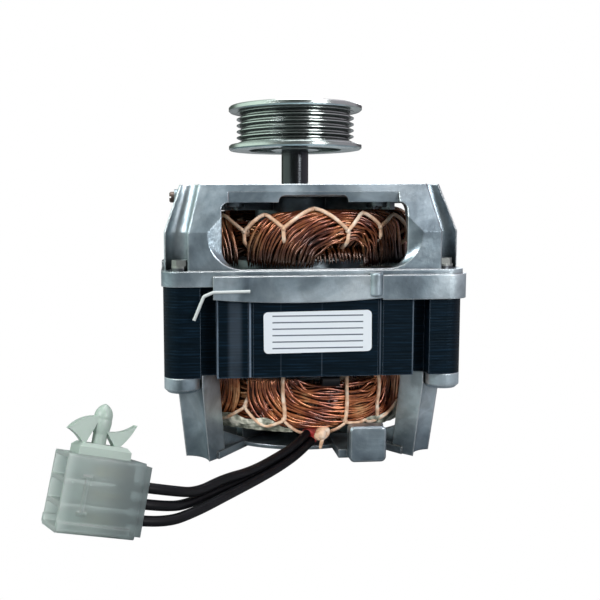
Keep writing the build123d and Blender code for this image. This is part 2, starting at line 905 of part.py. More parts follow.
def upper_shield():
    base_z = core_top_z
    wide = chamfered_square(base_half, base_flat_half)
    narrow = chamfered_square(top_half, top_flat_half)
    body = plate(wide, base_z, bend_z)
    body += loft([Plane.XY.offset(bend_z) * wide, Plane.XY.offset(shield_top_z) * narrow])
    body += plate(rounded_square(ear_half, core_corner_r + ear_half - core_half), base_z, base_z + ear_t)

    ceiling_z = shield_top_z - top_plate_t
    inner_half = base_half - shield_wall
    ceiling_half = slope_at(ceiling_z) - shield_wall
    ceiling_flat = post_inner_flat_half - (inner_half - ceiling_half)
    room = chamfered_square(inner_half, post_inner_flat_half)
    ceiling = chamfered_square(ceiling_half, ceiling_flat)
    cavity = plate(room, base_z - overrun, bend_z)
    cavity += loft([Plane.XY.offset(bend_z) * room, Plane.XY.offset(ceiling_z) * ceiling])
    body -= cavity

    flute_low = Circle(flute_r)
    ear_top = base_z + ear_t
    for sx, sy in corner_places(1):
        straight = plate(Pos(sx * flute_half, sy * flute_half) * flute_low, ear_top, bend_z)
        low = Plane.XY.offset(bend_z) * Pos(sx * flute_half, sy * flute_half) * flute_low
        high = Pos(sx * flute_top_half, sy * flute_top_half) * Circle(flute_top_r)
        leaning = loft([low, Plane.XY.offset(shield_top_z) * high])
        body -= straight
        body -= leaning

    window = front_window()
    for turn in (0, 90, 180, 270):
        body -= Rot(Z=turn) * window
    cuts = lintel_cuts()
    for turn in (0, 180):
        body -= Rot(Z=turn) * cuts

    body += plate(Circle(hub_r), shield_top_z - hub_depth, ceiling_z)
    rib_reach = ceiling_half
    rib = Pos(rib_reach / 2, 0) * Rectangle(rib_reach, rib_t)
    ribs = Rot(Z=45) * rib + Rot(Z=135) * rib + Rot(Z=225) * rib + Rot(Z=315) * rib
    body += plate(ribs, ceiling_z - rib_h, ceiling_z)
    for x, y in corner_places(plate_hole_half):
        body += Pos(x, y) * plate(Circle(plate_boss_r), ceiling_z - plate_boss_h / 2, ceiling_z)
        body -= Pos(x, y) * plate(Circle(plate_hole_r), ceiling_z - plate_boss_h, shield_top_z + overrun)
    body += plate(Circle(boss_step_r), shield_top_z, shield_top_z + boss_step_rise)
    body += plate(Circle(boss_r), shield_top_z, shield_top_z + boss_rise)
    body -= bearing_pocket(bush_z, shield_top_z - hub_depth, shield_top_z + boss_rise)

    lip = skirt() + knuckle()
    body += lip
    body += Rot(Z=180) * lip
    for x, y in corner_places(screw_half):
        body -= Pos(x, y) * plate(Circle(screw_r + hole_gap), base_z - overrun, ear_top + overrun)

    earth_x = slope_at(earth_z)
    boss = Plane(origin=(-earth_x + shield_wall / 2, 0, earth_z), z_dir=(-1, 0, 0)) * Circle(earth_boss_r)
    body += extrude(boss, amount=shield_wall / 2 + earth_boss_rise)
    into_side = Plane(origin=(-earth_x - overrun, 0, earth_z), z_dir=(1, 0, 0))
    hole = into_side * Circle(earth_screw_r + seat_gap)
    body -= extrude(hole, amount=overrun + earth_length)
    return body


# Lower end shield


def leg_outline(share):
    """The leg in the corner of +X and +Y: a channel with a flute on its outer corner."""
    edge_a = (leg_edge[0] * share, leg_edge[1] * share)
    edge_b = (edge_a[1], edge_a[0])
    inner_c = (leg_inner[0] * share, leg_inner[1] * share)
    inner_d = (inner_c[1], inner_c[0])
    middle = (edge_a[0] + edge_a[1]) / 2 - leg_flute / sqrt(2)
    sides = Polyline(edge_a, inner_c, inner_d, edge_b)
    return make_face(sides + ThreePointArc(edge_b, (middle, middle), edge_a))


def leg_pocket(share):
    """The hollow on the leg's inner side."""
    c = Vector(leg_inner[0] * share, leg_inner[1] * share)
    a = Vector(leg_edge[0] * share, leg_edge[1] * share)
    wall = (a - c).normalized()
    across = Vector(-wall.Y, wall.X) * -leg_wall
    near = c + across
    deep = (leg_edge[0] + leg_edge[1]) / 2 * share - leg_flute / sqrt(2) - leg_wall / sqrt(2)
    far_mouth = near - wall * leg_wall
    points = [
        (far_mouth.X, far_mouth.Y),
        (near.X, near.Y),
        (deep - leg_wall / 4, deep + leg_wall / 4),
        (deep + leg_wall / 4, deep - leg_wall / 4),
        (near.Y, near.X),
        (far_mouth.Y, far_mouth.X),
    ]
    return make_face(Polyline(*points, close=True))


def leg():
    ear_z = core_bottom_z - low_ear_t
    body = loft([leg_outline(leg_foot_share), Plane.XY.offset(ear_z + low_ear_edge) * leg_outline(1)])
    body -= loft(
        [
            Plane.XY.offset(foot_t) * leg_pocket(leg_foot_share),
            Plane.XY.offset(ear_z) * leg_pocket(1),
        ]
    )
    ear_middle = core_half - low_ear_w / 2
    block = Pos(ear_middle, ear_middle) * plate(
        RectangleRounded(low_ear_w, low_ear_w, core_corner_r - seat_gap), ear_z, core_bottom_z
    )
    low_rim = block.edges().group_by(Axis.Z)[0]
    block = chamfer(low_rim, low_ear_edge)
    body += block
    body += plate(leg_outline(1), ear_z + low_ear_edge, core_bottom_z)
    return body


def gusset():
    """The wedge from a leg's foot to the bottom disc, on the diagonal."""
    start = (leg_inner[0] + leg_inner[1]) / sqrt(2) * leg_foot_share + leg_wall / 2
    end = disc_r - overrun
    length = start + leg_wall - end
    profile = [
        (end, 0),
        (end + length, 0),
        (end + length, gusset_h),
        (end, gusset_end_h),
    ]
    wedge = extrude(Plane.XZ * make_face(Polyline(*profile, close=True)), amount=gusset_half, both=True)
    spread = [
        (end, -gusset_half),
        (start + leg_wall, -leg_inner[1] * leg_foot_share / 6),
        (start + leg_wall, leg_inner[1] * leg_foot_share / 6),
        (end, gusset_half),
    ]
    sole = plate(make_face(Polyline(*spread, close=True)), 0, foot_t)
    return Rot(Z=45) * (wedge + sole)


def pad():
    """An upright square pad on a short arm, in front of the disc."""
    middle = (pad_x + pad_w / 2, -pad_front, pad_z + pad_h / 2)
    front = Plane(origin=middle, x_dir=(1, 0, 0), z_dir=(0, 1, 0))
    block = extrude(front * RectangleRounded(pad_w, pad_h, pad_corner_r), amount=pad_t)
    rim = block.faces().sort_by(Axis.Y)[0].edges()
    block = chamfer(rim, pad_edge / 2)
    arm_length = pad_front - pad_t - disc_r * cos(pi / 4)
    arm_w = pad_x + pad_w - pad_arm_x
    arm_y = arm_length / 2 + pad_t - pad_front
    arm = Pos(pad_arm_x + arm_w / 2, arm_y) * Rectangle(arm_w, arm_length + 2 * seat_gap)
    return block + plate(arm, disc_z, disc_z + pad_arm_t)


def lower_shield():
    body = plate(Circle(disc_r), disc_z, disc_z + disc_t)
    body += plate(Circle(hub_r), disc_z, low_hub_top_z)
    reach = disc_r - overrun / 2
    rib = Pos(reach / 2, 0) * Rectangle(reach, rib_t)
    ribs = Rot(Z=45) * rib + Rot(Z=135) * rib + Rot(Z=225) * rib + Rot(Z=315) * rib
    body += plate(ribs, disc_z, disc_z + disc_t + low_rib_h)
    body += round_the_shaft(leg())
    body += round_the_shaft(gusset())
    body += pad()
    body -= bearing_pocket(low_bush_z, low_hub_top_z, disc_z - overrun)
    body += plate(Circle(hub_r / 2), disc_z, disc_z + disc_t)
    for x, y in corner_places(screw_half):
        hole = plate(Circle(screw_r + seat_gap), core_bottom_z - low_ear_t - overrun, core_bottom_z + overrun)
        body -= Pos(x, y) * hole
    return body


# Screws


def hexagon_screw():
    """One frame screw, with its head's underside at the origin and its shank along -Z."""
    length = core_stack + ear_t + spring_washer_t + low_ear_t - screw_tip_gap
    shank = plate(Circle(screw_r), -length, 0)
    flange = plate(Circle(screw_flange_r), 0, screw_flange_t)
    hexagon = RegularPolygon(screw_head_w / 2, 6, major_radius=False)
    head = plate(hexagon, screw_flange_t, screw_flange_t + screw_head_h)
    return shank + flange + head


def frame_screws():
    seat_z = core_top_z + ear_t + spring_washer_t
    screw = hexagon_screw()
    return [Pos(x, y, seat_z) * screw for x, y in corner_places(screw_half)]


def spring_washers():
    slot = Pos(screw_flange_r, 0) * Rectangle(2 * screw_flange_r, spring_washer_slot)
    shape = Circle(screw_flange_r - seat_gap) - Circle(screw_r + seat_gap) - slot
    low_z = core_top_z + ear_t
    washer = plate(shape, low_z, low_z + spring_washer_t)
    return [Pos(x, y) * washer for x, y in corner_places(screw_half)]


def earth_screw():
    face_x = slope_at(earth_z) + earth_boss_rise
    out = Plane(origin=(-face_x, 0, earth_z), z_dir=(-1, 0, 0))
    head = extrude(out * Circle(earth_head_r), amount=earth_head_t)
    head = chamfer(head.edges().group_by(Axis.X)[0], earth_head_edge)
    shank = extrude(out * Circle(earth_screw_r - seat_gap), amount=-earth_length)
    slot = Box(2 * cross_slot_depth, 3 * earth_head_r, cross_slot_w)
    slot += Box(2 * cross_slot_depth, cross_slot_w, 3 * earth_head_r)
    return head + shank - Pos(-face_x - earth_head_t, 0, earth_z) * slot


# Label and tie tail


def rating_label():
    face = Plane(origin=(label_x, -core_half, label_z), x_dir=(1, 0, 0), z_dir=(0, -1, 0))
    shape = Rot(Z=label_turn) * RectangleRounded(label_w, label_h, label_corner_r)
    return extrude(face * shape, amount=label_t)


def tie_tail():
    y = -(core_half + seat_gap + skirt_t + wrap_gap + tail_d / 2)
    points = [Vector(out - skirt_end, y, core_top_z - drop) for out, drop in tail_run]
    path = FilletPolyline(*points, radius=tail_bend_r)
    section = Plane(origin=points[0], z_dir=points[1] - points[0]) * Circle(tail_d / 2)
    return sweep(section, path=path)


# Leads


def bend_radii(points):
    """As large an arc at each corner as its two runs allow."""
    radii = []
    for before, here, after in zip(points, points[1:], points[2:]):
        turn = radians((here - before).get_angle(after - here))
        shorter = min((here - before).length, (after - here).length)
        radii.append(lead_bend_share * shorter / tan(turn / 2))
    return radii


def lead_route(name):
    """The corners of a lead: square out of the sleeve, and square into its way."""
    turn = radians(lead_starts[name])
    start = sleeve_plane() * Pos(lead_spread_r * cos(turn), lead_spread_r * sin(turn), 0)
    away = start * Pos(0, 0, lead_first_run)
    way_z = entry_spacing * lead_ways[name] - entry_drop
    into = conn_pose() * Pos(conn_l / 2, 0, way_z)
    before = conn_pose() * Pos(conn_l / 2 + lead_last_run, 0, way_z)
    side, front = sleeve_end[0], sleeve_end[1]
    corners = [Vector(side + x, front + y, z) for x, y, z in lead_corners[name]]
    return [start.position, away.position, *corners, before.position, into.position]


def lead(name):
    points = lead_route(name)
    for point in points:
        print(name, tuple(round(value, 3) for value in point))
    radii = bend_radii(points)
    path = FilletPolyline(*points, radius=radii)
    section = Plane(origin=points[0], z_dir=points[1] - points[0]) * Circle(lead_d / 2)
    solid = sweep(section, path=path)
    expected = pi * (lead_d / 2) ** 2 * path.length
    print(name, "length", round(path.length, 1), "radii", [round(r, 1) for r in radii])
    print(name, "volume", round(solid.volume, 1), "section times length", round(expected, 1))
    return solid


# Connector, drawn about its own middle and then laid in its pose


def conn_pose():
    return Pos(*conn_centre) * Rot(Z=conn_yaw) * Rot(Y=conn_roll) * Rot(X=conn_pitch)


def connector_housing():
    block = Box(conn_l - conn_shoulder, conn_w, conn_h)
    block = Pos(-conn_shoulder / 2, 0, 0) * block
    block = chamfer(block.edges().filter_by(Axis.X), conn_edge)
    shoulder = Box(conn_l / 2, conn_w - conn_shoulder_inset, conn_h - conn_shoulder_inset)
    block += Pos(conn_l / 4, 0, 0) * shoulder
    lip_l = conn_l - 2 * conn_shoulder
    lip = Box(lip_l, conn_w + 2 * conn_lip, conn_lip_h)
    block += Pos(-conn_shoulder, 0, -conn_h / 2 + conn_lip_h / 2 + conn_edge) * lip
    way_h = (conn_h - 2 * conn_wall - (conn_ways - 1) * conn_wall) / conn_ways
    way_l = conn_l - conn_floor_t
    for number in range(conn_ways):
        z = (number - (conn_ways - 1) / 2) * (way_h + conn_wall)
        room = Box(way_l, conn_w - 2 * conn_wall, way_h)
        block -= Pos(-conn_floor_t / 2 - conn_edge, 0, z) * room
        hole_z = (number - (conn_ways - 1) / 2) * entry_spacing - entry_drop
        into_end = Plane(origin=(conn_l / 2 + overrun, 0, hole_z), z_dir=(-1, 0, 0))
        hole = into_end * Circle(lead_d / 2 - entry_gap)
        block -= extrude(hole, amount=overrun + 2 * conn_floor_t)
    key = Box(conn_key_l, 2 * conn_key_rise, conn_key_h)
    for end in (-1, 1):
        key += Pos(0, 0, end * conn_key_h / 2) * Box(3 * conn_key_l, 2 * conn_key_rise, conn_key_l)
    block += Pos(-conn_l / 4, -conn_w / 2, 0) * key
    return conn_pose() * block


def connector_terminals():
    """Three brass receptacles, each standing on the floor of its way."""
    solids = []
    way_h = (conn_h - 2 * conn_wall - (conn_ways - 1) * conn_wall) / conn_ways
    floor_x = conn_l / 2 - conn_floor_t - conn_edge
    for number in range(conn_ways):
        z = (number - (conn_ways - 1) / 2) * (way_h + conn_wall)
        tube = Box(terminal_length, terminal_w, terminal_h)
        tube -= Box(2 * terminal_length, terminal_w - 2 * terminal_t, terminal_h - 2 * terminal_t)
        solids.append(conn_pose() * Pos(floor_x - seat_gap - terminal_length / 2, 0, z) * tube)
    return solids


def clip_wing(root_high, high_bend, tip, low_bend, root_low):
    """A wing of the clip: two arcs that meet at its tip, closed along the stem."""
    sides = ThreePointArc(root_high, high_bend, tip) + ThreePointArc(tip, low_bend, root_low)
    face = make_face(sides + Line(root_low, root_high))
    return extrude(Plane.XZ * face, amount=clip_wing_w / 2, both=True)


def connector_clip():
    """The push-in clip on top: a base, a stem with a leaf-shaped tip, and two springy wings."""
    base = Pos(clip_base_shift, 0, clip_base_h / 2) * Box(clip_base_l, clip_base_w, clip_base_h)
    base = chamfer(base.edges().group_by(Axis.Z)[-1], clip_base_h / 3)
    leaf_z = clip_stem_h - clip_leaf_h
    bulge = (clip_leaf_r, clip_stem_h - clip_leaf_h / 2)
    shoulder = (clip_leaf_r * sin(pi / 4), clip_stem_h - clip_leaf_r / 2)
    high = ThreePointArc((0, clip_stem_h), shoulder, bulge)
    flank = ((clip_leaf_r + clip_neck_r) / 2 + clip_neck_r / 9, leaf_z + clip_leaf_h / 5)
    low = ThreePointArc(bulge, flank, (clip_neck_r, leaf_z))
    rest = Polyline((clip_neck_r, leaf_z), (clip_neck_r, 0), (0, 0), (0, clip_stem_h))
    stem = revolve(Plane.XZ * make_face(high + low + rest), axis=Axis.Z)
    wings = clip_wing(*clip_left_wing) + clip_wing(*clip_right_wing)
    return conn_pose() * Pos(clip_shift, 0, conn_h / 2) * (base + stem + wings)


upper_far_z = upper_turn_z[1] + upper_turn_corner_r
low_far_z = low_turn_z[1] - low_turn_corner_r

nodes = {
    "stator_core": stator_core(),
    "slot_liners": slot_liners(),
    "slot_wedges": slot_wedges(),
    "slot_conductors": slot_conductors(),
    "upper_overhang": overhang(
        overhang_low_z, upper_turn_z[1], upper_turn_corner_r, turn_r, upper_turn_top_run
    ),
    "upper_outer_turns": outer_turns(
        "upper", upper_turn_z[0], upper_turn_z[1], upper_turn_corner_r, upper_turn_top_run
    ),
    "lower_overhang": overhang(
        low_overhang_top_z, low_turn_z[1], low_turn_corner_r, turn_r, low_turn_foot_run
    ),
    "lower_outer_turns": outer_turns(
        "lower", low_turn_z[0], low_turn_z[1], low_turn_corner_r, low_turn_foot_run
    ),
    "upper_lacing": lacing(
        overhang_low_z - wrap_gap, upper_far_z + wire_d / 2 + wrap_gap, upper_turn_corner_r
    ),
    "lower_lacing": lacing(
        low_turn_z[0] + wire_d / 2 + wrap_gap, low_far_z - wire_d / 2 - wrap_gap, low_turn_corner_r
    ),
    "insulation_band": insulation_band(),
    "lead_sleeve": lead_sleeve(),
    "joint_sleeve": joint_sleeve(),
    "rotor_core": rotor_core(),
    "rotor_cage": rotor_cage(),
    "shaft": shaft(),
    "retaining_rings": retaining_rings(),
    "upper_thrust_washers": thrust_washers(bush_z - bush_h / 2 - seat_gap - washer_t, -1),
    "lower_thrust_washers": thrust_washers(low_bush_z + bush_h / 2 + seat_gap, 1),
    "pulley": pulley(),
    "upper_bush": bush(bush_z),
    "lower_bush": bush(low_bush_z),
    "upper_felt_ring": felt_ring(bush_z - felt_h / 4),
    "lower_felt_ring": felt_ring(low_bush_z + felt_h / 4),
    "upper_bush_retainer": bush_retainer(bush_z - felt_h / 4, -1),
    "lower_bush_retainer": bush_retainer(low_bush_z + felt_h / 4, 1),
    "upper_shield": upper_shield(),
    "lower_shield": lower_shield(),
    "frame_screws": frame_screws(),
    "spring_washers": spring_washers(),
    "earth_screw": earth_screw(),
    "rating_label": rating_label(),
    "tie_tail": tie_tail(),
    "lead_upper": lead("lead_upper"),
    "lead_front": lead("lead_front"),
    "lead_rear": lead("lead_rear"),
    "connector_housing": connector_housing(),
    "connector_terminals": connector_terminals(),
    "connector_clip": connector_clip(),
}

os.makedirs("parts", exist_ok=True)
for name, piece in nodes.items():
    solids = piece if isinstance(piece, list) else piece.solids()
    shape = solids[0] if len(solids) == 1 else Compound(children=list(solids))
    export_step(shape, f"parts/{name}.step")
print(len(nodes), "nodes written")
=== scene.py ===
import bpy
import numpy as np
from mathutils import Matrix, Vector


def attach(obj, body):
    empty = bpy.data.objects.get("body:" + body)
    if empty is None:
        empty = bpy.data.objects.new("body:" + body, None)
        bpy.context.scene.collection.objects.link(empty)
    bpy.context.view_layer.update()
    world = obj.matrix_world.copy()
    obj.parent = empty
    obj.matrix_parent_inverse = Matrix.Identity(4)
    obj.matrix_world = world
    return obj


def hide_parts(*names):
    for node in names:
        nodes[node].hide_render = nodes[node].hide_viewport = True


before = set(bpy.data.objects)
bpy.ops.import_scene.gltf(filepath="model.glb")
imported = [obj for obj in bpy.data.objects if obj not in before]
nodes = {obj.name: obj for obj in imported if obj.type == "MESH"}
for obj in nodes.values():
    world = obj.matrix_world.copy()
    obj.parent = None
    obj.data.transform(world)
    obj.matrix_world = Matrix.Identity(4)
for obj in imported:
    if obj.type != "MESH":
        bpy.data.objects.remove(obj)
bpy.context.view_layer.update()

# Camera: stands a little to the left of the motor and looks slightly down and to the right,
# as the photograph's does. Places are in millimetres in the part's frame, turned to metres.
mm = 0.001
picture_px = 600
eye_at = np.array([-46.689, -325.56, 87.612])
eye_yaw = 0.075
eye_pitch = 0.104
eye_roll = -0.005
focal_px = 826.25
axis_px = (239.079, 295.939)
film_w = 36.0

ahead = np.array([
    np.sin(eye_yaw) * np.cos(eye_pitch),
    np.cos(eye_yaw) * np.cos(eye_pitch),
    -np.sin(eye_pitch),
])
level_right = np.array([np.cos(eye_yaw), -np.sin(eye_yaw), 0])
level_up = np.cross(level_right, ahead)
eye_right = level_right * np.cos(eye_roll) + level_up * np.sin(eye_roll)
eye_up = level_up * np.cos(eye_roll) - level_right * np.sin(eye_roll)

camera_data = bpy.data.cameras.new("camera")
camera_data.sensor_width = film_w
camera_data.lens = film_w * focal_px / picture_px
camera_data.shift_x = (picture_px / 2 - axis_px[0]) / picture_px
camera_data.shift_y = (axis_px[1] - picture_px / 2) / picture_px
camera_data.clip_start = 0.01
camera = bpy.data.objects.new("camera", camera_data)
bpy.context.scene.collection.objects.link(camera)
turn = Matrix((eye_right, eye_up, -ahead)).transposed()
camera.matrix_world = Matrix.Translation(Vector(eye_at * mm)) @ turn.to_4x4()
bpy.context.scene.camera = camera
bpy.context.scene.view_settings.view_transform = "Standard"

# Leads: three black wires with a soft PVC coat, each a limp cord that leaves the red sleeve,
# sags to the floor and rises into its way in the connector. Routes are those of the part.
lead_d = 2.9
lead_patch_w = 3.85
lead_blacks = ((0.35, "#030407"), (0.75, "#0a0b11"))
lead_routes = {
    "lead_upper": (
        (-1.21, -40.305, 8.21),
        (-6.47, -47.956, 6.202),
        (-14.3, -56.4, 4.6),
        (-24.0, -69.7, 4.4),
        (-33.8, -84.0, 6.9),
        (-41.9, -95.4, 6.9),
        (-49.207, -106.793, 11.657),
        (-57.225, -109.601, 13.949),
    ),
    "lead_front": (
        (0.354, -40.706, 5.645),
        (-4.907, -48.357, 3.636),
        (-13.0, -57.6, 1.7),
        (-22.6, -70.9, 1.6),
        (-33.0, -86.4, 2.4),
        (-41.6, -99.2, 3.0),
        (-50.803, -108.984, 3.39),
        (-58.821, -111.792, 5.683),
    ),
    "lead_rear": (
        (-2.144, -38.989, 5.645),
        (-7.404, -46.64, 3.636),
        (-15.8, -55.2, 1.7),
        (-25.4, -68.6, 1.6),
        (-35.6, -83.6, 3.2),
        (-44.2, -96.6, 4.2),
        (-50.005, -107.888, 7.524),
        (-58.023, -110.696, 9.816),
    ),
}


def srgb(text):
    """A hex colour as linear red, green, blue and alpha."""
    parts = np.array([int(text[n:n + 2], 16) for n in (1, 3, 5)]) / 255
    linear = np.where(parts <= 0.04045, parts / 12.92, ((parts + 0.055) / 1.055) ** 2.4)
    return (*linear, 1.0)


def put(material, node, **inputs):
    """Sets a node's inputs, or links them where the value is a socket, or a node, which stands
    for its first output. An input goes by its name, with underscores for spaces, or by the
    letter i and its number."""
    for name, value in inputs.items():
        numbered = name[0] == "i" and name[1:].isdigit()
        socket = node.inputs[int(name[1:]) if numbered else name.replace("_", " ")]
        if isinstance(value, bpy.types.Node):
            value = value.outputs[0]
        if isinstance(value, bpy.types.NodeSocket):
            material.node_tree.links.new(value, socket)
        else:
            socket.default_value = value


def add(material, kind, settings=None, stops=(), **inputs):
    """Adds one node with its settings and inputs. Stops are those of a colour ramp, each a place
    and a hex colour."""
    node = material.node_tree.nodes.new("ShaderNode" + kind)
    for name, value in (settings or {}).items():
        setattr(node, name, value)
    if stops:
        elements = node.color_ramp.elements
        for extra in stops[2:]:
            elements.new(0.5)
        for element, (place, colour) in zip(elements, stops):
            element.position = place
            element.color = srgb(colour)
    put(material, node, **inputs)
    return node


def new_material(name):
    """An empty material and its Principled shader, already joined to the output."""
    material = bpy.data.materials.new(name)
    material.use_nodes = True
    material.node_tree.nodes.clear()
    shader = add(material, "BsdfPrincipled")
    add(material, "OutputMaterial", Surface=shader)
    return material, shader


# Flexible PVC has a soft, slightly greasy shine and is a little uneven.
lead_pvc, lead_shader = new_material("extruded black PVC")
lead_place = add(lead_pvc, "TexCoord").outputs["Object"]
lead_noise = add(lead_pvc, "TexNoise", Vector=lead_place, Scale=1 / (lead_patch_w * mm), Detail=3.0)
lead_colour = add(lead_pvc, "ValToRGB", stops=lead_blacks, Fac=lead_noise)
lead_bump = add(lead_pvc, "Bump", Height=lead_noise, Strength=0.12, Distance=0.0004)
put(
    lead_pvc,
    lead_shader,
    Base_Color=lead_colour,
    Roughness=0.45,
    IOR=1.45,
    Specular_IOR_Level=0.3,
    Normal=lead_bump,
)

for name, route in lead_routes.items():
    curve = bpy.data.curves.new(name + "_cord", "CURVE")
    curve.dimensions = "3D"
    curve.bevel_depth = lead_d / 2 * mm
    curve.bevel_resolution = 6
    curve.use_fill_caps = True
    curve.resolution_u = 12
    spline = curve.splines.new("NURBS")
    spline.points.add(len(route) - 1)
    for point, place in zip(spline.points, route):
        point.co = (*(value * mm for value in place), 1.0)
    spline.order_u = 3
    spline.use_endpoint_u = True
    curve.materials.append(lead_pvc)
    cord = bpy.data.objects.new(name + "_cord", curve)
    bpy.context.scene.collection.objects.link(cord)
    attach(cord, "stator")
    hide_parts(name)

# Studio: a pale floor under soft lamps. To the camera, and through clear plastic, the floor and
# the room are plain white. Metal mirrors a dim room with a light wall at each side and a light ceiling.
floor_half = 3.0
plain_white = (1, 1, 1, 1)
room_dim = 0.14
room_floor_share = 0.25

# Each light part of the room has the axis that it lies on, where on it the light starts and stops
# to change, and its brightness before and after. The lamps' places and sides are in metres.
room_lights = (("X", -0.93, -0.62, 1.25, 0.0), ("X", 0.70, 0.95, 0.0, 0.42), ("Z", 0.30, 0.85, 0.0, 0.8))
lamps = (
    ("key", (-0.80, -0.75, 0.75), 0.5, 8.6),
    ("front", (0.70, -1.05, 0.42), 0.4, 7.0),
    ("top", (0.1, 0.05, 1.15), 0.6, 6.5),
    ("back", (0.3, 1.0, 0.6), 0.6, 4.0),
)
lit_place = Vector((0, 0, 0.06))

larger = {"operation": "MAXIMUM"}
times = {"operation": "MULTIPLY"}
plus = {"operation": "ADD"}
minus = {"operation": "SUBTRACT"}
smooth = {"interpolation_type": "SMOOTHSTEP"}
colour_mix = {"data_type": "RGBA"}
colour_times = {"data_type": "RGBA", "blend_type": "MULTIPLY"}


def seen_straight(material):
    """1 for rays from the camera and rays through clear plastic, and 0 for mirrored light."""
    ray = add(material, "LightPath").outputs
    return add(material, "Math", larger, i0=ray["Is Camera Ray"], i1=ray["Is Transmission Ray"])


floor_mesh = bpy.data.meshes.new("floor")
floor_corners = [(x * floor_half, y * floor_half, 0) for x, y in ((-1, -1), (1, -1), (1, 1), (-1, 1))]
floor_mesh.from_pydata(floor_corners, [], [(0, 1, 2, 3)])
floor = bpy.data.objects.new("floor", floor_mesh)
bpy.context.scene.collection.objects.link(floor)
floor_paper, floor_shader = new_material("matt pale paper sweep")
put(floor_paper, floor_shader, Base_Color=srgb("#808285"), Roughness=0.9)
floor_white = add(floor_paper, "Emission", Color=plain_white, Strength=1.0)
floor_mix = add(floor_paper, "MixShader", i0=seen_straight(floor_paper), i1=floor_shader, i2=floor_white)
floor_out = [node for node in floor_paper.node_tree.nodes if node.type == "OUTPUT_MATERIAL"][0]
put(floor_paper, floor_out, Surface=floor_mix)
floor_mesh.materials.append(floor_paper)

world = bpy.data.worlds.new("studio")
bpy.context.scene.world = world
world.use_nodes = True
world.node_tree.nodes.clear()
sky_axes = add(world, "SeparateXYZ", Vector=add(world, "TexCoord").outputs["Generated"]).outputs
sky_level = 0.0
for axis, start, stop, before, after in room_lights:
    wall = add(world, "MapRange", smooth, Value=sky_axes[axis], i1=start, i2=stop, i3=before, i4=after)
    sky_level = add(world, "Math", larger, i0=sky_level, i1=wall)
sky_low = add(world, "MapRange", smooth, Value=sky_axes["Z"], i1=-0.6, i2=0.0, i3=room_floor_share, i4=1.0)
sky_level = add(world, "Math", times, i0=sky_level, i1=sky_low)
sky_level = add(world, "Math", plus, i0=sky_level, i1=room_dim)
sky_hand = add(world, "MapRange", smooth, Value=sky_axes["X"], i1=-0.6, i2=0.6, i3=0.0, i4=1.0)
sky_tint = add(world, "Mix", colour_mix, i0=sky_hand, i6=srgb("#e2f3e6"), i7=srgb("#f1e6f0")).outputs[2]
sky_soft = add(world, "Background", Color=sky_tint, Strength=sky_level)
sky_white = add(world, "Background", Color=plain_white, Strength=1.0)
sky_mix = add(world, "MixShader", i0=seen_straight(world), i1=sky_soft, i2=sky_white)
add(world, "OutputWorld", Surface=sky_mix)

for name, place, side, watts in lamps:
    lamp_data = bpy.data.lights.new(name, "AREA")
    lamp_data.size = side
    lamp_data.energy = watts
    lamp = bpy.data.objects.new(name, lamp_data)
    bpy.context.scene.collection.objects.link(lamp)
    lamp.location = place
    lamp.rotation_euler = (lit_place - Vector(place)).to_track_quat("-Z", "Y").to_euler()

# Stator core: punched electrical-steel sheets, stacked, welded and dipped in blue-black varnish.
# The sheets' edges show as fine level lines. On each side upright lighter lines stand for the weld seams,
# and for painted highlights on the punched outline's steps; the edges get painted highlights too.
sheet_t = 0.5
core_streak_w = 12.5
core_streak_flat = 16.0
core_patch_w = 22.2
core_edge_r = 0.4
core_line_share = 0.4
core_line_depth = 0.07
core_blues = ((0.3, "#010508"), (0.55, "#040e17"), (0.75, "#0f2231"))
core_seam_highlight_tone = srgb("#8fa0b3")
edge_likeness = (0.80, 0.985)

# Each upright line has its place from the middle of a side, its half width and its brightness.
core_marks = (
    (-33.4, 0.35, 0.55),
    (-27.5, 3.0, 0.12),
    (-22.4, 0.45, 0.75),
    (-12.0, 0.25, 0.10),
    (2.0, 0.25, 0.10),
    (22.2, 0.35, 0.22),
    (33.4, 0.35, 0.30),
)

bare_size = {"operation": "ABSOLUTE"}
sign_only = {"operation": "SIGN"}
is_larger = {"operation": "GREATER_THAN"}
dot = {"operation": "DOT_PRODUCT"}


# Edges found this way get painted highlights: a lighter colour is mixed in on them.
def painted_edge_highlights(material, radius):
    """1 on edges rounded by the radius and 0 on flat places, with the rounded normal: where that
    differs from the surface's own there is an edge."""
    rounded = add(material, "Bevel", {"samples": 4}, Radius=radius * mm)
    own = add(material, "NewGeometry").outputs["Normal"]
    likeness = add(material, "VectorMath", dot, i0=rounded, i1=own).outputs["Value"]
    sharp, blunt = edge_likeness
    edge = add(material, "MapRange", smooth, Value=likeness, i1=sharp, i2=blunt, i3=1.0, i4=0.0)
    return edge, rounded


def dress(node_name, material):
    """Gives a CAD node its finished material."""
    mesh = nodes[node_name].data
    mesh.materials.clear()
    mesh.materials.append(material)


# Dipping varnish gives a soft dark shine, in which the sheets' edges still show. Single sheets are
# too fine for the render, so each level line stands for two.
core_steel, core_shader = new_material("varnished lamination stack")
core_place = add(core_steel, "TexCoord").outputs["Object"]
core_axes = add(core_steel, "SeparateXYZ", Vector=core_place).outputs
sheet_turn = add(core_steel, "Math", times, i0=core_axes["Z"], i1=2 * np.pi / (2 * sheet_t * mm))
sheet_wave = add(core_steel, "Math", {"operation": "SINE"}, i0=sheet_turn)
core_streak = add(core_steel, "Mapping", Vector=core_place, Scale=(1.0, 1.0, core_streak_flat))
core_noise = add(
    core_steel,
    "TexNoise",
    Vector=core_streak,
    Scale=1 / (core_streak_w * mm),
    Detail=5.0,
    Roughness=0.6,
)
core_lines = add(
    core_steel,
    "Math",
    {"operation": "MULTIPLY_ADD"},
    i0=sheet_wave,
    i1=core_line_depth,
    i2=core_noise,
)
core_colour = add(core_steel, "ValToRGB", stops=core_blues, Fac=core_lines)
core_patch = add(core_steel, "TexNoise", Vector=core_place, Scale=1 / (core_patch_w * mm), Detail=4.0)

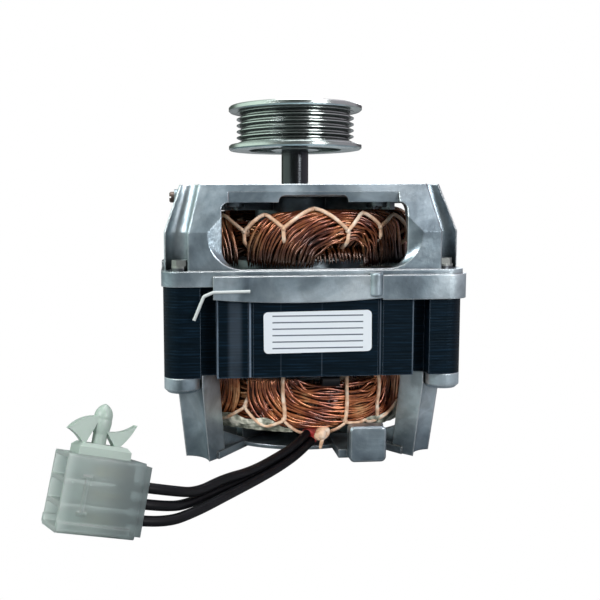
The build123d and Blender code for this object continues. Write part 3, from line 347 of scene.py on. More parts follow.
# A place's distance along its own side is its X on the front and back, and its Y on the others,
# turned so that each side runs the same way round.
size_x, size_y = (add(core_steel, "Math", bare_size, i0=core_axes[axis]) for axis in "XY")
sign_x, sign_y = (add(core_steel, "Math", sign_only, i0=core_axes[axis]) for axis in "XY")
front_on = add(core_steel, "Math", is_larger, i0=size_y, i1=size_x)
back_to_front = add(core_steel, "Math", times, i0=sign_y, i1=-1.0)
along_front = add(core_steel, "Math", times, i0=core_axes["X"], i1=back_to_front)
along_side = add(core_steel, "Math", times, i0=core_axes["Y"], i1=sign_x)
along_face = add(core_steel, "Mix", {"data_type": "FLOAT"}, i0=front_on, i2=along_side, i3=along_front)
# The upright lines are weld seams and painted highlights on the outline's steps, mixed to a lighter tone.
core_seams_and_highlights = 0.0
for place, half_w, bright in core_marks:
    off = add(core_steel, "Math", minus, i0=along_face, i1=place * mm)
    off = add(core_steel, "Math", bare_size, i0=off)
    full = core_line_share * half_w * mm
    line = add(core_steel, "MapRange", smooth, Value=off, i1=full, i2=half_w * mm, i3=bright, i4=0.0)
    core_seams_and_highlights = add(core_steel, "Math", plus, i0=core_seams_and_highlights, i1=line)
core_uneven = add(core_steel, "MapRange", smooth, Value=core_patch, i1=0.3, i2=0.6, i3=0.35, i4=1.0)
core_seams_and_highlights = add(core_steel, "Math", times, i0=core_seams_and_highlights, i1=core_uneven)
# Painted highlights: the core's edges are mixed towards the same lighter tone.
core_edge = painted_edge_highlights(core_steel, core_edge_r)[0]
core_edge = add(core_steel, "Math", times, i0=core_edge, i1=0.35)
core_seams_and_highlights = add(core_steel, "Math", larger, i0=core_seams_and_highlights, i1=core_edge)
core_colour = add(core_steel, "Mix", colour_mix, i0=core_seams_and_highlights, i6=core_colour, i7=core_seam_highlight_tone)
core_rough = add(core_steel, "MapRange", Value=core_patch, i3=0.32, i4=0.6)
core_bump = add(core_steel, "Bump", Height=core_lines, Strength=0.35, Distance=0.0006)
put(
    core_steel,
    core_shader,
    Base_Color=core_colour.outputs[2],
    Roughness=core_rough,
    Specular_IOR_Level=0.2,
    Specular_Tint=srgb("#a2cdee"),
    Normal=core_bump,
)
dress("stator_core", core_steel)

# Slot insulation: folded polyester film round each coil side, with a strip across the mouth.
# Its cut edges stand just clear of the core as pale cuffs. The film is milky and softly glossy.
slot_film, film_shader = new_material("milky polyester film")
put(slot_film, film_shader, Base_Color=srgb("#d9d5c2"), Roughness=0.4, IOR=1.57)
dress("slot_liners", slot_film)
dress("slot_wedges", slot_film)

# Windings: enamelled copper wire, wound in coils and pressed into a ring beyond each end of the
# core. The varnish that holds them is orange-brown, with bright orange lines where light catches.
wire_d = 1.02
wire_sides = 6
tube_tip_share = 0.02
core_middle_z = 46.5
outer_wall_r = 44.45
upper_foot_z = 66.9
upper_shoulder_z = 80.8
upper_shoulder_r = 6.3
inner_wall_r = 30.9
lower_foot_z = 29.2
lower_shoulder_z = 15.7
lower_shoulder_r = 5.4
upper_section = (outer_wall_r, upper_foot_z, upper_shoulder_z, upper_shoulder_r, inner_wall_r)
lower_section = (outer_wall_r, lower_foot_z, lower_shoulder_z, lower_shoulder_r, inner_wall_r)
tie_degrees = np.array([-31, -13, 16, 34])
tie_turns = np.radians(np.concatenate([tie_degrees + 90 * side for side in range(4)]))

outer_coil_middle = -77.5
inner_coil_middle = -122.5
coil_steps = 50
coil_waves = 8
coil_fill_share = 0.8
coil_lean = 0.10
least_cover = 0.05
turn_wobble = 0.010
travel_wobble = 0.42
push_wobble = 0.3
sink_from = 4.5
sink_over = 3
backing_in = 3.4
backing_steps = (120, 40)

copper_patch_w = 10.5
copper_speck_w = 1.11
copper_gap_w = 2.2
sky_shares = (0.25, 0.9)
copper_browns = ((0.30, "#461a12"), (0.43, "#864228"), (0.56, "#bd7042"), (0.70, "#f2ba84"))

# For the upper and the lower overhang: two heights, and how bright the copper is at each.
copper_light = ((67.5, 84.0, 0.04, 0.95), (12.0, 40.0, 1.2, 0.8))


# Multiplied into a colour, this paints shade into gaps and hollows.
def open_sky(material, reach, darkest):
    """How open a place is: 1 on open faces, falling to darkest in gaps within the reach."""
    settings = {"samples": 5, "only_local": True}
    sky = add(material, "AmbientOcclusion", settings, Distance=reach * mm).outputs["AO"]
    hidden, exposed = sky_shares
    return add(material, "MapRange", smooth, Value=sky, i1=hidden, i2=exposed, i3=darkest, i4=1.0)


# Enamel and varnish give the wires a wet shine over a metal glow. The light is lost between them:
# the upper overhang darkens towards the core, under the shield, and the lower one hardly does.
copper_enamel, copper_shader = new_material("varnished enamelled copper wire")
copper_place = add(copper_enamel, "TexCoord").outputs["Object"]
copper_noise = add(
    copper_enamel,
    "TexNoise",
    Vector=copper_place,
    Scale=1 / (copper_patch_w * mm),
    Detail=5.0,
    Roughness=0.65,
)
copper_speck = add(
    copper_enamel,
    "TexNoise",
    Vector=copper_place,
    Scale=1 / (copper_speck_w * mm),
    Detail=2.0,
)
copper_colour = add(copper_enamel, "ValToRGB", stops=copper_browns, Fac=copper_noise)
copper_z = add(copper_enamel, "SeparateXYZ", Vector=copper_place).outputs["Z"]
copper_upper, copper_lower = (
    add(copper_enamel, "MapRange", smooth, Value=copper_z, i1=start * mm, i2=stop * mm, i3=first, i4=last)
    for start, stop, first, last in copper_light
)
copper_is_low = add(copper_enamel, "Math", {"operation": "LESS_THAN"}, i0=copper_z, i1=core_middle_z * mm)
copper_lit = add(
    copper_enamel,
    "Mix",
    {"data_type": "FLOAT"},
    i0=copper_is_low,
    i2=copper_upper,
    i3=copper_lower,
)
copper_gap = open_sky(copper_enamel, copper_gap_w, 0.04)
copper_lit = add(copper_enamel, "Math", times, i0=copper_gap, i1=copper_lit)
copper_colour = add(copper_enamel, "Mix", colour_times, i0=1.0, i6=copper_colour, i7=copper_lit)
copper_bump = add(copper_enamel, "Bump", Height=copper_speck, Strength=0.1, Distance=0.0002)
put(
    copper_enamel,
    copper_shader,
    Base_Color=copper_colour.outputs[2],
    Metallic=0.55,
    Roughness=0.23,
    Coat_Weight=0.8,
    Coat_Roughness=0.15,
    Normal=copper_bump,
)
dress("slot_conductors", copper_enamel)


def mesh_object(name, places, faces, material, slot, replaced):
    """A new object from an array of places in millimetres and an array of four-cornered faces.
    It rides on the stator and stands for the replaced CAD nodes."""
    mesh = bpy.data.meshes.new(name)
    mesh.from_pydata((places.reshape(-1, 3) * mm).tolist(), [], faces.tolist())
    mesh.polygons.foreach_set("use_smooth", np.full(len(mesh.polygons), True))
    mesh.materials.append(material)
    mesh.update()
    thing = bpy.data.objects.new(name, mesh)
    bpy.context.scene.collection.objects.link(thing)
    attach(thing, "stator")
    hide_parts(*replaced)


def grid_faces(count, rows, columns, wrap_rows, wrap_columns):
    """Corner numbers of the faces of count grids, each of rows by columns places."""
    row, column = np.meshgrid(
        np.arange(rows if wrap_rows else rows - 1),
        np.arange(columns if wrap_columns else columns - 1),
        indexing="ij",
    )
    here = row * columns
    there = (row + 1) % rows * columns
    beside = (column + 1) % columns
    quads = np.stack([here + column, there + column, there + beside, here + beside], axis=-1)
    starts = np.arange(count) * rows * columns
    return (quads.reshape(-1, 4) + starts[:, None, None]).reshape(-1, 4)


def tubes(paths, sideways, radius, sides, closed):
    """Round tubes on paths of shape (tubes, places, 3).

    Each ring is radius times (cosine of the turn times sideways plus sine of the turn times the
    direction square to both sideways and the path). An open tube's ends are drawn in to a point.
    """
    along = np.gradient(paths, axis=1)
    if closed:
        along = np.roll(paths, -1, axis=1) - np.roll(paths, 1, axis=1)
    along /= np.linalg.norm(along, axis=-1, keepdims=True)
    flat = sideways - along * np.sum(sideways * along, axis=-1, keepdims=True)
    flat /= np.linalg.norm(flat, axis=-1, keepdims=True)
    upright = np.cross(along, flat)
    turns = np.arange(sides) * 2 * np.pi / sides
    thick = np.broadcast_to(radius, paths.shape[:2]).copy()
    if not closed:
        thick[:, [0, -1]] *= tube_tip_share
    ring = (
        flat[:, :, None] * np.cos(turns)[None, None, :, None]
        + upright[:, :, None] * np.sin(turns)[None, None, :, None]
    )
    places = paths[:, :, None] + ring * thick[:, :, None, None]
    return places, grid_faces(len(paths), paths.shape[1], sides, closed, True)


def joined(parts):
    """Puts several (places, faces) pairs into one."""
    places = [part[0].reshape(-1, 3) for part in parts]
    starts = np.cumsum([0] + [len(piece) for piece in places[:-1]])
    faces = [part[1] + start for part, start in zip(parts, starts)]
    return np.concatenate(places), np.concatenate(faces)


def wander(turns, seed, count, low, high, reach):
    """A smooth closed wave for each of count lines: sines of whole numbers of periods, from low
    up to high, with random sizes and phases."""
    dice = np.random.default_rng(seed)
    periods = np.arange(low, high)
    sizes = dice.normal(size=(count, len(periods))) / np.sqrt(len(periods))
    phases = dice.uniform(0, 2 * np.pi, size=(count, len(periods)))
    waves = np.sin(turns[None, None] * periods[None, :, None] + phases[:, :, None])
    return reach * np.sum(sizes[:, :, None] * waves, axis=1)


def wobble(dice, reach, count, waves):
    """For each of count wires, the waves added up with random sizes, and scaled by the reach."""
    return reach * dice.normal(size=(count, len(waves))) @ waves / 2


def round_shaft(radius, turns, height):
    """Places at a radius and a turn round the shaft and a height, given as arrays or numbers."""
    return np.stack(np.broadcast_arrays(radius * np.cos(turns), radius * np.sin(turns), height), axis=-1)


def bundle_section(travel, wall_r, foot_z, shoulder_z, shoulder_r, inner_r):
    """Radius and height on the overhang's outside: up the wall, round the shoulder, in over the
    top, and back down the inner side. Travel is the distance along that line, in millimetres."""
    sign = np.sign(shoulder_z - foot_z)
    wall = abs(shoulder_z - foot_z)
    shoulder = shoulder_r * np.pi / 2
    tuck_r = shoulder_r / 2
    top = wall_r - shoulder_r - inner_r - tuck_r
    inner = tuck_r * np.pi / 2
    lean = np.clip((travel - wall) / shoulder_r, 0, np.pi / 2)
    tuck = np.clip((travel - wall - shoulder - top) / tuck_r, 0, np.pi / 2)
    radius = wall_r - shoulder_r * (1 - np.cos(lean))
    radius = radius - np.clip(travel - wall - shoulder, 0, top) - tuck_r * np.sin(tuck)
    height = foot_z + sign * np.clip(travel, 0, wall) + sign * shoulder_r * np.sin(lean)
    height = height - sign * tuck_r * (1 - np.cos(tuck))
    height = height - sign * np.clip(travel - wall - shoulder - top - inner, 0, wall)
    return radius, height


def off_line(section, travel, off):
    """Radius and height on the section, moved by off away from the middle of the overhang."""
    wall_r, foot_z, shoulder_z, shoulder_r, inner_r = section
    radius, height = bundle_section(travel, *section)
    out_r = radius - (wall_r + inner_r) / 2
    out_z = height - (foot_z + shoulder_z) / 2
    far = np.hypot(out_r, out_z)
    return radius + out_r / far * off, height + out_z / far * off


def way_round(section):
    """The length of the section's line, from the core over the top and back to the core."""
    wall_r, foot_z, shoulder_z, shoulder_r, inner_r = section
    bends_r = 1.5 * shoulder_r
    return 2 * abs(shoulder_z - foot_z) + bends_r * np.pi / 2 + wall_r - inner_r - bends_r


def arched_coils(section, middle, lift, wires, spans, climbs, squareness, seed, sink=0.0):
    """Arches on the overhang's section, four to the ring, whose wires fill the space from the
    smallest span and climb to the largest. The angle follows a cosine and the travel up the wall
    a sine, both to a power under one, which squares the arch's shoulders. The wires lie lift off
    the section, and a coil with a sink leans inwards by that much once it has left the core."""
    dice = np.random.default_rng(seed)
    share = np.tile(np.linspace(0, 1, wires), 4)
    pole = np.repeat(np.arange(4), wires)
    half = np.radians(spans[0] + (spans[1] - spans[0]) * share)
    climb = climbs[0] + (climbs[1] - climbs[0]) * share ** coil_fill_share
    walk = np.linspace(np.pi, 0, coil_steps)
    waves = np.stack([np.sin(walk * n) for n in range(1, coil_waves + 1)])
    across = np.sign(np.cos(walk)) * np.abs(np.cos(walk)) ** squareness[0]
    upward = np.sin(walk) ** squareness[1]
    lean = coil_lean * np.sin(walk) ** 2
    turns = np.radians(middle) + pole[:, None] * np.pi / 2 + half[:, None] * across + lean
    turns = turns + wobble(dice, turn_wobble, len(half), waves)
    travel = climb[:, None] * upward + wobble(dice, travel_wobble, len(half), waves)
    push = np.minimum(lift + wobble(dice, push_wobble, len(half), waves), -least_cover)
    push = push - sink * np.clip((travel - sink_from) / sink_over, 0, 1)
    radius, height = off_line(section, travel, push)
    paths = round_shaft(radius, turns, height)
    sideways = round_shaft(1.0, turns, 0.35)
    return tubes(paths, sideways, wire_d / 2, wire_sides, False)


def backing_ring(section, inset):
    """The ring of wires behind the coils: the overhang's section drawn in by inset, closed, and
    carried round the shaft."""
    steps, rows = backing_steps
    travel = np.linspace(0, way_round(section), rows)
    turns = (np.arange(steps) * 2 * np.pi / steps)[:, None]
    radius, height = off_line(section, travel, -inset)
    places = round_shaft(radius, turns, height)
    faces = grid_faces(1, steps, rows, True, True)
    return places, faces[:, ::-1] if section[2] > section[1] else faces


# Each overhang is made of arched coils, four outer ones and four inner ones turned between them.
# Each wire leaves a slot, leans over the shoulder and goes back past the next tie. A call gives a
# layer's place, depth and wires, its least and largest span and climb, its squareness and a seed.
upper_coils = joined([
    arched_coils(upper_section, outer_coil_middle, -0.45, 24, (13, 42), (10.0, 28.5), (0.95, 0.8), 31),
    arched_coils(upper_section, outer_coil_middle, -1.25, 20, (15, 42), (11.0, 28.0), (0.95, 0.8), 32),
    arched_coils(upper_section, inner_coil_middle, -2.1, 20, (10, 44), (6.0, 29.5), (0.85, 0.75), 33, 2.6),
    arched_coils(upper_section, inner_coil_middle, -2.9, 14, (8, 44), (5.0, 30.0), (0.85, 0.75), 34, 2.6),
    backing_ring(upper_section, backing_in + 2.4),
])
lower_coils = joined([
    arched_coils(lower_section, outer_coil_middle, -0.45, 26, (20, 42), (3.2, 27.5), (0.92, 0.72), 35),
    arched_coils(lower_section, outer_coil_middle, -1.25, 22, (21, 42), (3.6, 27.0), (0.92, 0.72), 36),
    arched_coils(lower_section, inner_coil_middle, -2.1, 18, (14, 43), (4.0, 28.5), (0.8, 0.65), 37),
    arched_coils(lower_section, inner_coil_middle, -2.9, 12, (12, 43), (4.0, 28.0), (0.8, 0.65), 38),
    backing_ring(lower_section, backing_in),
])
for name, coils in (("upper", upper_coils), ("lower", lower_coils)):
    replaced = (name + "_overhang", name + "_outer_turns")
    mesh_object(name + "_winding", *coils, copper_enamel, "copper_wire", replaced)

# Lacing: cream polyester cord tied round each overhang between the coil sides, each tie knotted
# on the outside. The cord runs on from tie to tie in slack swags, and the ties sink between coils.
lace_d = 1.35
lace_sides = 8
lace_clear = 0.45
lace_patch_w = 3.125
lace_weave_w = 0.67
lace_gap_w = 2.5
lace_creams = ((0.3, "#cb9a78"), (0.5, "#f2cbac"), (0.7, "#ffeedc"))
loop_steps = 60
loop_wander = 0.012
sink_in = 2
sink_out = 1.5
swag_steps = 41
swag_off = 0.35
swag_dip = 0.5
swag_dip_share = 0.07
knot_steps = (14, 9)
knot_off = 0.3
knot_swell_share = 0.16
knot_long_share = 1.15
knot_pole = 0.02
tie_order = np.sort(np.mod(tie_turns, 2 * np.pi))
tie_count = len(tie_order)

# Braided polyester is matt, with small pits between its strands, and painted shade darkens its hollows.
lacing_cord, lace_shader = new_material("braided polyester lacing cord")
lace_place = add(lacing_cord, "TexCoord").outputs["Object"]
lace_noise = add(lacing_cord, "TexNoise", Vector=lace_place, Scale=1 / (lace_patch_w * mm), Detail=4.0)
lace_weave = add(lacing_cord, "TexVoronoi", Vector=lace_place, Scale=1 / (lace_weave_w * mm))
lace_colour = add(lacing_cord, "ValToRGB", stops=lace_creams, Fac=lace_noise)
lace_gap = open_sky(lacing_cord, lace_gap_w, 0.38)
lace_colour = add(lacing_cord, "Mix", colour_times, i0=1.0, i6=lace_colour, i7=lace_gap).outputs[2]
lace_bump = add(lacing_cord, "Bump", Height=lace_weave, Strength=0.3, Distance=0.0004)
put(lacing_cord, lace_shader, Base_Color=lace_colour, Roughness=0.75, Normal=lace_bump)


def off_section(section, turns, travel, off):
    """Places at the given turns and travels round the overhang's section, moved out by off."""
    radius, height = off_line(section, travel, off)
    return round_shaft(radius, turns, height)


def lace_loops(section, near, far, sink, seed):
    """A closed loop round the overhang's section at each tie, in the plane of the shaft. It shows
    from the near to the far travel, and elsewhere it sinks between the coils by the sink."""
    whole = way_round(section)
    travel = np.tile(np.linspace(0, whole, loop_steps), (tie_count, 1))
    turns = tie_order[:, None] + wander(travel[0] / whole * 2 * np.pi, seed, tie_count, 1, 4, loop_wander)
    near = np.resize(near, tie_count)[:, None]
    far = np.resize(far, tie_count)[:, None]
    sunk = np.clip((near - travel) / sink_in, 0, 1) + np.clip((travel - far) / sink_out, 0, 1)
    paths = off_section(section, turns, travel, lace_clear - sink * sunk)
    sideways = np.stack([-np.sin(turns), np.cos(turns), np.zeros_like(turns)], axis=-1)
    return tubes(paths, sideways, lace_d / 2, lace_sides, True)


def lace_swags(section, knots, peaks, bulge, thickness):
    """The cord from knot to knot: each swag climbs from one knot's travel to its peak, halfway
    along, and comes down to the next knot. It stands off by the bulge at its middle."""
    gaps = np.mod(np.roll(tie_order, -1) - tie_order, 2 * np.pi)
    share = np.linspace(0, 1, swag_steps)
    turns = tie_order[:, None] + gaps[:, None] * share
    starts = np.resize(knots, tie_count)[:, None]
    stops = np.roll(starts, -1, axis=0)
    tops = np.resize(peaks, tie_count)[:, None]
    rise = starts + (tops - starts) * np.clip(2 * share, 0, 1)
    fall = tops + (stops - tops) * np.clip(2 * share - 1, 0, 1)
    travel = np.where(share < 0.5, rise, fall)
    travel = travel - swag_dip * np.exp(-((share - 0.5) / swag_dip_share) ** 2)
    off = lace_clear + swag_off + bulge * np.sqrt(np.abs(np.sin(np.pi * share)))
    paths = off_section(section, turns, travel, off)
    sideways = round_shaft(1.0, turns, 0.0)
    return tubes(paths, sideways, thickness / 2, lace_sides, False)


def lumps(middles, size):
    """A lumpy knot at each place: a small ball, a little longer than it is wide, swollen by a
    wave of three periods round it."""
    around, rows = knot_steps
    across, down = np.meshgrid(
        np.linspace(0, 2 * np.pi, around, endpoint=False),
        np.linspace(knot_pole, np.pi - knot_pole, rows),
        indexing="ij",
    )
    swell = size * (1 + knot_swell_share * np.sin(3 * across) * np.sin(down) ** 2)
    ball = round_shaft(swell * np.sin(down), across, knot_long_share * swell * np.cos(down))
    places = np.asarray(middles)[:, None, None] + ball[None]
    return places, grid_faces(len(middles), around, rows, True, False)[:, ::-1]


def soft_path(points, count, reach):
    """Count places along the points, each of them then the mean of itself and as many as the
    reach on either side."""
    share = np.linspace(0, len(points) - 1, count)
    straight = [np.interp(share, np.arange(len(points)), points[:, axis]) for axis in range(3)]
    mean = np.ones(2 * reach + 1) / (2 * reach + 1)
    return np.stack([np.convolve(np.pad(line, reach, "edge"), mean, "valid") for line in straight], axis=-1)


# Knot and peak travels repeat on each side, counted from the tie 16 degrees past its middle.
upper_knots = np.array((12.8, 14.0, 12.6, 13.7))
upper_peaks = np.array((19.3, 18.5, 18.7, 22.0))
upper_places = off_section(upper_section, tie_order, np.resize(upper_knots, tie_count), lace_clear + knot_off)
upper_lace = joined([
    lace_loops(upper_section, near=upper_knots - 3.2, far=upper_knots + 0.4, sink=4.5, seed=5),
    lace_swags(upper_section, upper_knots, upper_peaks, bulge=0.5, thickness=lace_d),
    lumps(upper_places, size=0.9),
])

# The lower swags zigzag along the top of the paper band. The one at the front left hangs lower.
# The one in front dips under the overhang at the red sleeve, beside a big cream knot with one
# loose end that hangs down.
lower_knots = np.array((15.9, 16.6, 10.8, 14.4))
lower_near = np.array((-2.0, -2.0, 10.0, -2.0))
lower_peaks = np.resize((15.2, 11.0, 16.3, 20.5), tie_count)
lower_peaks[9] = 15.5
lower_peaks[11] = 24.0
lower_places = off_section(lower_section, tie_order, np.resize(lower_knots, tie_count), lace_clear + knot_off)
front_knot = np.array([
    (1.6, -43.8, 9.2),
    (3.2, -44.2, 10.4),
    (4.8, -44.1, 10.8),
    (5.8, -43.7, 9.6),
    (4.6, -43.8, 7.8),
    (2.6, -44.1, 7.2),
    (1.2, -44.4, 8.0),
    (2.0, -44.8, 9.4),
    (3.8, -44.9, 9.4),
    (3.6, -44.8, 7.4),
    (3.0, -44.6, 5.2),
    (2.8, -44.4, 3.4),
])
front_knot_middle = (3.4, -44.0, 9.0)
front_sideways = np.array((0.0, 1.0, 0.1))
front_steps = 70
front_path = soft_path(front_knot, front_steps, reach=4)
front_r = 1.05 - 0.55 * np.linspace(0, 1, front_steps) ** 3
lower_lace = joined([
    lace_loops(lower_section, near=lower_near, far=lower_knots + 0.4, sink=4.0, seed=6),
    lace_swags(lower_section, lower_knots, lower_peaks, bulge=1.3, thickness=lace_d * 0.85),
    lumps(lower_places, size=0.8),
    tubes(front_path[None], front_sideways, front_r, lace_sides, False),
    lumps([front_knot_middle], size=2.0),
])
for name, lace in (("upper_lacing", upper_lace), ("lower_lacing", lower_lace)):
    mesh_object(name + "_cord", *lace, lacing_cord, "lacing_cord", (name,))

# Insulation band: a strip of grey-green varnished paper wrapped round the lower overhang's foot,
# pulled in by the cord, crinkled, and open in front where the leads come out.
band_ends = (-67.5, 261.0)
band_steps = 430
band_rows = 14
band_t = 0.32
band_foot_z = 9.6
band_edge_z = 15.6
band_top_z = 17.4
band_levels = (9.4, 12.9, 17.6)
band_radii = (43.6, 45.75, 45.75)
band_largest_r = 46.1
tie_pull_down = 2.2
tie_pull_in = 0.55
tie_pull_turn = 0.09
end_cut = 3.0
end_cut_turn = 0.16
band_patch_w = 3.85
band_gap_w = 2.0
band_greys = ((0.38, "#565a4e"), (0.5, "#aeb0a0"), (0.62, "#f6f2e2"))

# The strip's upper edge dips at each tie, where the cord also pulls it in, and at both its ends.
band_turns = np.radians(np.linspace(*band_ends, band_steps))
band_share = np.linspace(0, 1, band_rows)
band_from_tie = np.abs(np.angle(np.exp(1j * (band_turns[:, None] - tie_turns[None]))))
band_pull = np.exp(-(band_from_tie.min(axis=1) / tie_pull_turn) ** 2)
band_from_end = band_turns - band_turns[[0, -1], None]
band_edge = band_edge_z - tie_pull_down * band_pull
band_edge = band_edge + wander(band_turns, seed=41, count=1, low=5, high=24, reach=0.5)[0]
band_edge = band_edge - end_cut * np.exp(-(band_from_end / end_cut_turn) ** 2).sum(axis=0)
band_foot = band_foot_z + wander(band_turns, seed=42, count=1, low=3, high=12, reach=0.25)[0]
band_z = band_foot[:, None] + (np.minimum(band_edge, band_top_z) - band_foot)[:, None] * band_share
band_out = np.interp(band_z, band_levels, band_radii)
band_crinkle = wander(band_turns, seed=43, count=band_rows, low=12, high=90, reach=0.22).T
band_out = band_out + band_crinkle - tie_pull_in * band_pull[:, None] * band_share
band_out = np.minimum(band_out, band_largest_r)
band_skin = np.concatenate([band_out, (band_out - band_t)[:, ::-1]], axis=1)
band_level = np.concatenate([band_z, band_z[:, ::-1]], axis=1)
band_places = round_shaft(band_skin, band_turns[:, None], band_level)

# Each ring of the strip runs up its outside and down its inside, and a cap closes each end.
band_ring = 2 * band_rows
band_faces = grid_faces(1, band_steps, band_ring, False, True)
band_near = np.arange(band_rows - 1)
band_far = band_ring - 1 - band_near
band_cap = np.stack([band_near, band_near + 1, band_far - 1, band_far], axis=-1)
band_last = (band_steps - 1) * band_ring
band_faces = np.concatenate([band_faces, band_cap[:, ::-1], band_cap + band_last])

# Varnish soaks into the paper in patches, so it is blotched from dark green-grey to off-white.
band_paper, band_shader = new_material("varnished insulation paper")
band_place = add(band_paper, "TexCoord").outputs["Object"]
band_noise = add(band_paper, "TexNoise", Vector=band_place, Scale=1 / (band_patch_w * mm), Detail=5.0)
band_colour = add(band_paper, "ValToRGB", stops=band_greys, Fac=band_noise)
# Painted shade: the paper is darkened where it lies in gaps.
band_gap = open_sky(band_paper, band_gap_w, 0.6)
band_colour = add(band_paper, "Mix", colour_times, i0=1.0, i6=band_colour, i7=band_gap).outputs[2]
band_bump = add(band_paper, "Bump", Height=band_noise, Strength=0.5, Distance=0.001)
put(band_paper, band_shader, Base_Color=band_colour, Roughness=0.6, Normal=band_bump)
mesh_object("paper_band", band_places, band_faces, band_paper, "band_paper", ("insulation_band",))

# Sleeves: red woven sleeving over the joint between the winding and the leads, and a small black
# heat-shrink sleeve over another joint under the core's front edge. The varnish makes the red
# weave blotchy, brightest where it lies thin.
red_patch_w = 3.33
red_tones = ((0.35, "#c43c3c"), (0.65, "#ff8a84"))

red_sleeving, red_shader = new_material("varnished red glass sleeving")
red_place = add(red_sleeving, "TexCoord").outputs["Object"]
red_noise = add(red_sleeving, "TexNoise", Vector=red_place, Scale=1 / (red_patch_w * mm), Detail=3.0)
red_colour = add(red_sleeving, "ValToRGB", stops=red_tones, Fac=red_noise)
put(red_sleeving, red_shader, Base_Color=red_colour, Roughness=0.55)
dress("lead_sleeve", red_sleeving)
dress("joint_sleeve", lead_pvc)

# Rotor: a stack of steel laminations on the shaft, turned to size. It is all but hidden, so it
# has the plain dark grey of turned steel.
rotor_steel, rotor_shader = new_material("turned rotor laminations")
put(rotor_steel, rotor_shader, Base_Color=srgb("#5c5f63"), Metallic=1.0, Roughness=0.45)
dress("rotor_core", rotor_steel)

# Cast aluminium: the rotor's cage and both end shields, die-cast and tumbled. The soft grey skin
# has darker flow marks and clouds, a faint grain, painted highlights on its edges and painted shade in its
# recesses.
cast_grain = 0.35
cast_flow_w = 35.7
cast_cloud_w = 10.5
cast_edge_r = 0.7
cast_gap_w = 12.0
cast_greys = ((0.30, "#66747f"), (0.46, "#93a3ad"), (0.6, "#b7c5cd"), (0.76, "#dde6ea"))
cast_edge_highlight = srgb("#f6fbfd")

# The grain's noise has its own size at four grains, and its finer layers come down to one.
cast_metal, cast_shader = new_material("tumbled die-cast aluminium")
cast_place = add(cast_metal, "TexCoord").outputs["Object"]
cast_flow = add(
    cast_metal,
    "TexNoise",
    Vector=cast_place,
    Scale=1 / (cast_flow_w * mm),
    Detail=6.0,
    Roughness=0.6,
    Distortion=0.8,
)
cast_skin = add(cast_metal, "TexNoise", Vector=cast_place, Scale=1 / (4 * cast_grain * mm), Detail=3.0)
cast_cloud = add(
    cast_metal,
    "TexNoise",
    Vector=cast_place,
    Scale=1 / (cast_cloud_w * mm),
    Detail=4.0,
    Distortion=0.6,
)
cast_colour = add(cast_metal, "ValToRGB", stops=cast_greys, Fac=cast_flow)
cast_shade = add(cast_metal, "MapRange", smooth, Value=cast_cloud, i1=0.38, i2=0.62, i3=0.82, i4=1.14)
cast_colour = add(cast_metal, "Mix", colour_times, i0=1.0, i6=cast_colour, i7=cast_shade).outputs[2]
# Painted highlights: the edges are mixed towards a near-white.
cast_edge, cast_round = painted_edge_highlights(cast_metal, cast_edge_r)
cast_uneven = add(cast_metal, "MapRange", smooth, Value=cast_skin, i1=0.3, i2=0.6, i3=0.6, i4=1.0)
cast_edge = add(cast_metal, "Math", times, i0=cast_edge, i1=cast_uneven)
cast_colour = add(cast_metal, "Mix", colour_mix, i0=cast_edge, i6=cast_colour, i7=cast_edge_highlight).outputs[2]
# Painted shade: the colour is darkened in recesses, windows and corners.
cast_gap = open_sky(cast_metal, cast_gap_w, 0.1)
cast_colour = add(cast_metal, "Mix", colour_times, i0=1.0, i6=cast_colour, i7=cast_gap).outputs[2]
cast_rough = add(cast_metal, "MapRange", Value=cast_flow, i3=0.2, i4=0.44)
cast_bump = add(cast_metal, "Bump", Height=cast_skin, Strength=0.15, Distance=0.0005, Normal=cast_round)
put(cast_metal, cast_shader, Base_Color=cast_colour, Metallic=0.85, Roughness=cast_rough, Normal=cast_bump)
for name in ("rotor_cage", "upper_shield", "lower_shield"):
    dress(name, cast_metal)

# Shaft: steel, ground between centres. The wheel leaves fine scratches round the shaft, which
# draw its shine out into upright lines. The pattern is drawn out twenty times along them.
scratch_w = 0.385
scratch_stretch = 20

ground_steel, ground_shader = new_material("ground shaft steel")
ground_place = add(ground_steel, "TexCoord").outputs["Object"]
ground_squeeze = (1 / scratch_stretch, 1 / scratch_stretch, 1.0)
ground_lines = add(ground_steel, "Mapping", Vector=ground_place, Scale=ground_squeeze)
ground_noise = add(ground_steel, "TexNoise", Vector=ground_lines, Scale=1 / (scratch_w * mm), Detail=2.0)
ground_bump = add(ground_steel, "Bump", Height=ground_noise, Strength=0.12, Distance=0.0002)
put(ground_steel, ground_shader, Base_Color=srgb("#46494c"), Metallic=1.0, Roughness=0.2, Normal=ground_bump)
dress("shaft", ground_steel)

# Small steel parts: rings, retainers and spring washers stamped from dark oily spring steel,
# frame screws and thrust washers with the pale shine of zinc plate, and the earth screw, whose
# passivated zinc has gone dull and brownish.
spring_steel, spring_shader = new_material("oiled spring steel")
put(spring_steel, spring_shader, Base_Color=srgb("#6d6f72"), Metallic=1.0, Roughness=0.35)
for name in ("retaining_rings", "upper_bush_retainer", "lower_bush_retainer", "spring_washers"):
    dress(name, spring_steel)

zinc_plate, zinc_shader = new_material("bright zinc plate")
put(zinc_plate, zinc_shader, Base_Color=srgb("#b3b6b2"), Metallic=1.0, Roughness=0.28)
for name in ("frame_screws", "upper_thrust_washers", "lower_thrust_washers"):
    dress(name, zinc_plate)

dull_zinc, dull_shader = new_material("dull passivated zinc")
put(dull_zinc, dull_shader, Base_Color=srgb("#6f625c"), Metallic=0.9, Roughness=0.42)
dress("earth_screw", dull_zinc)

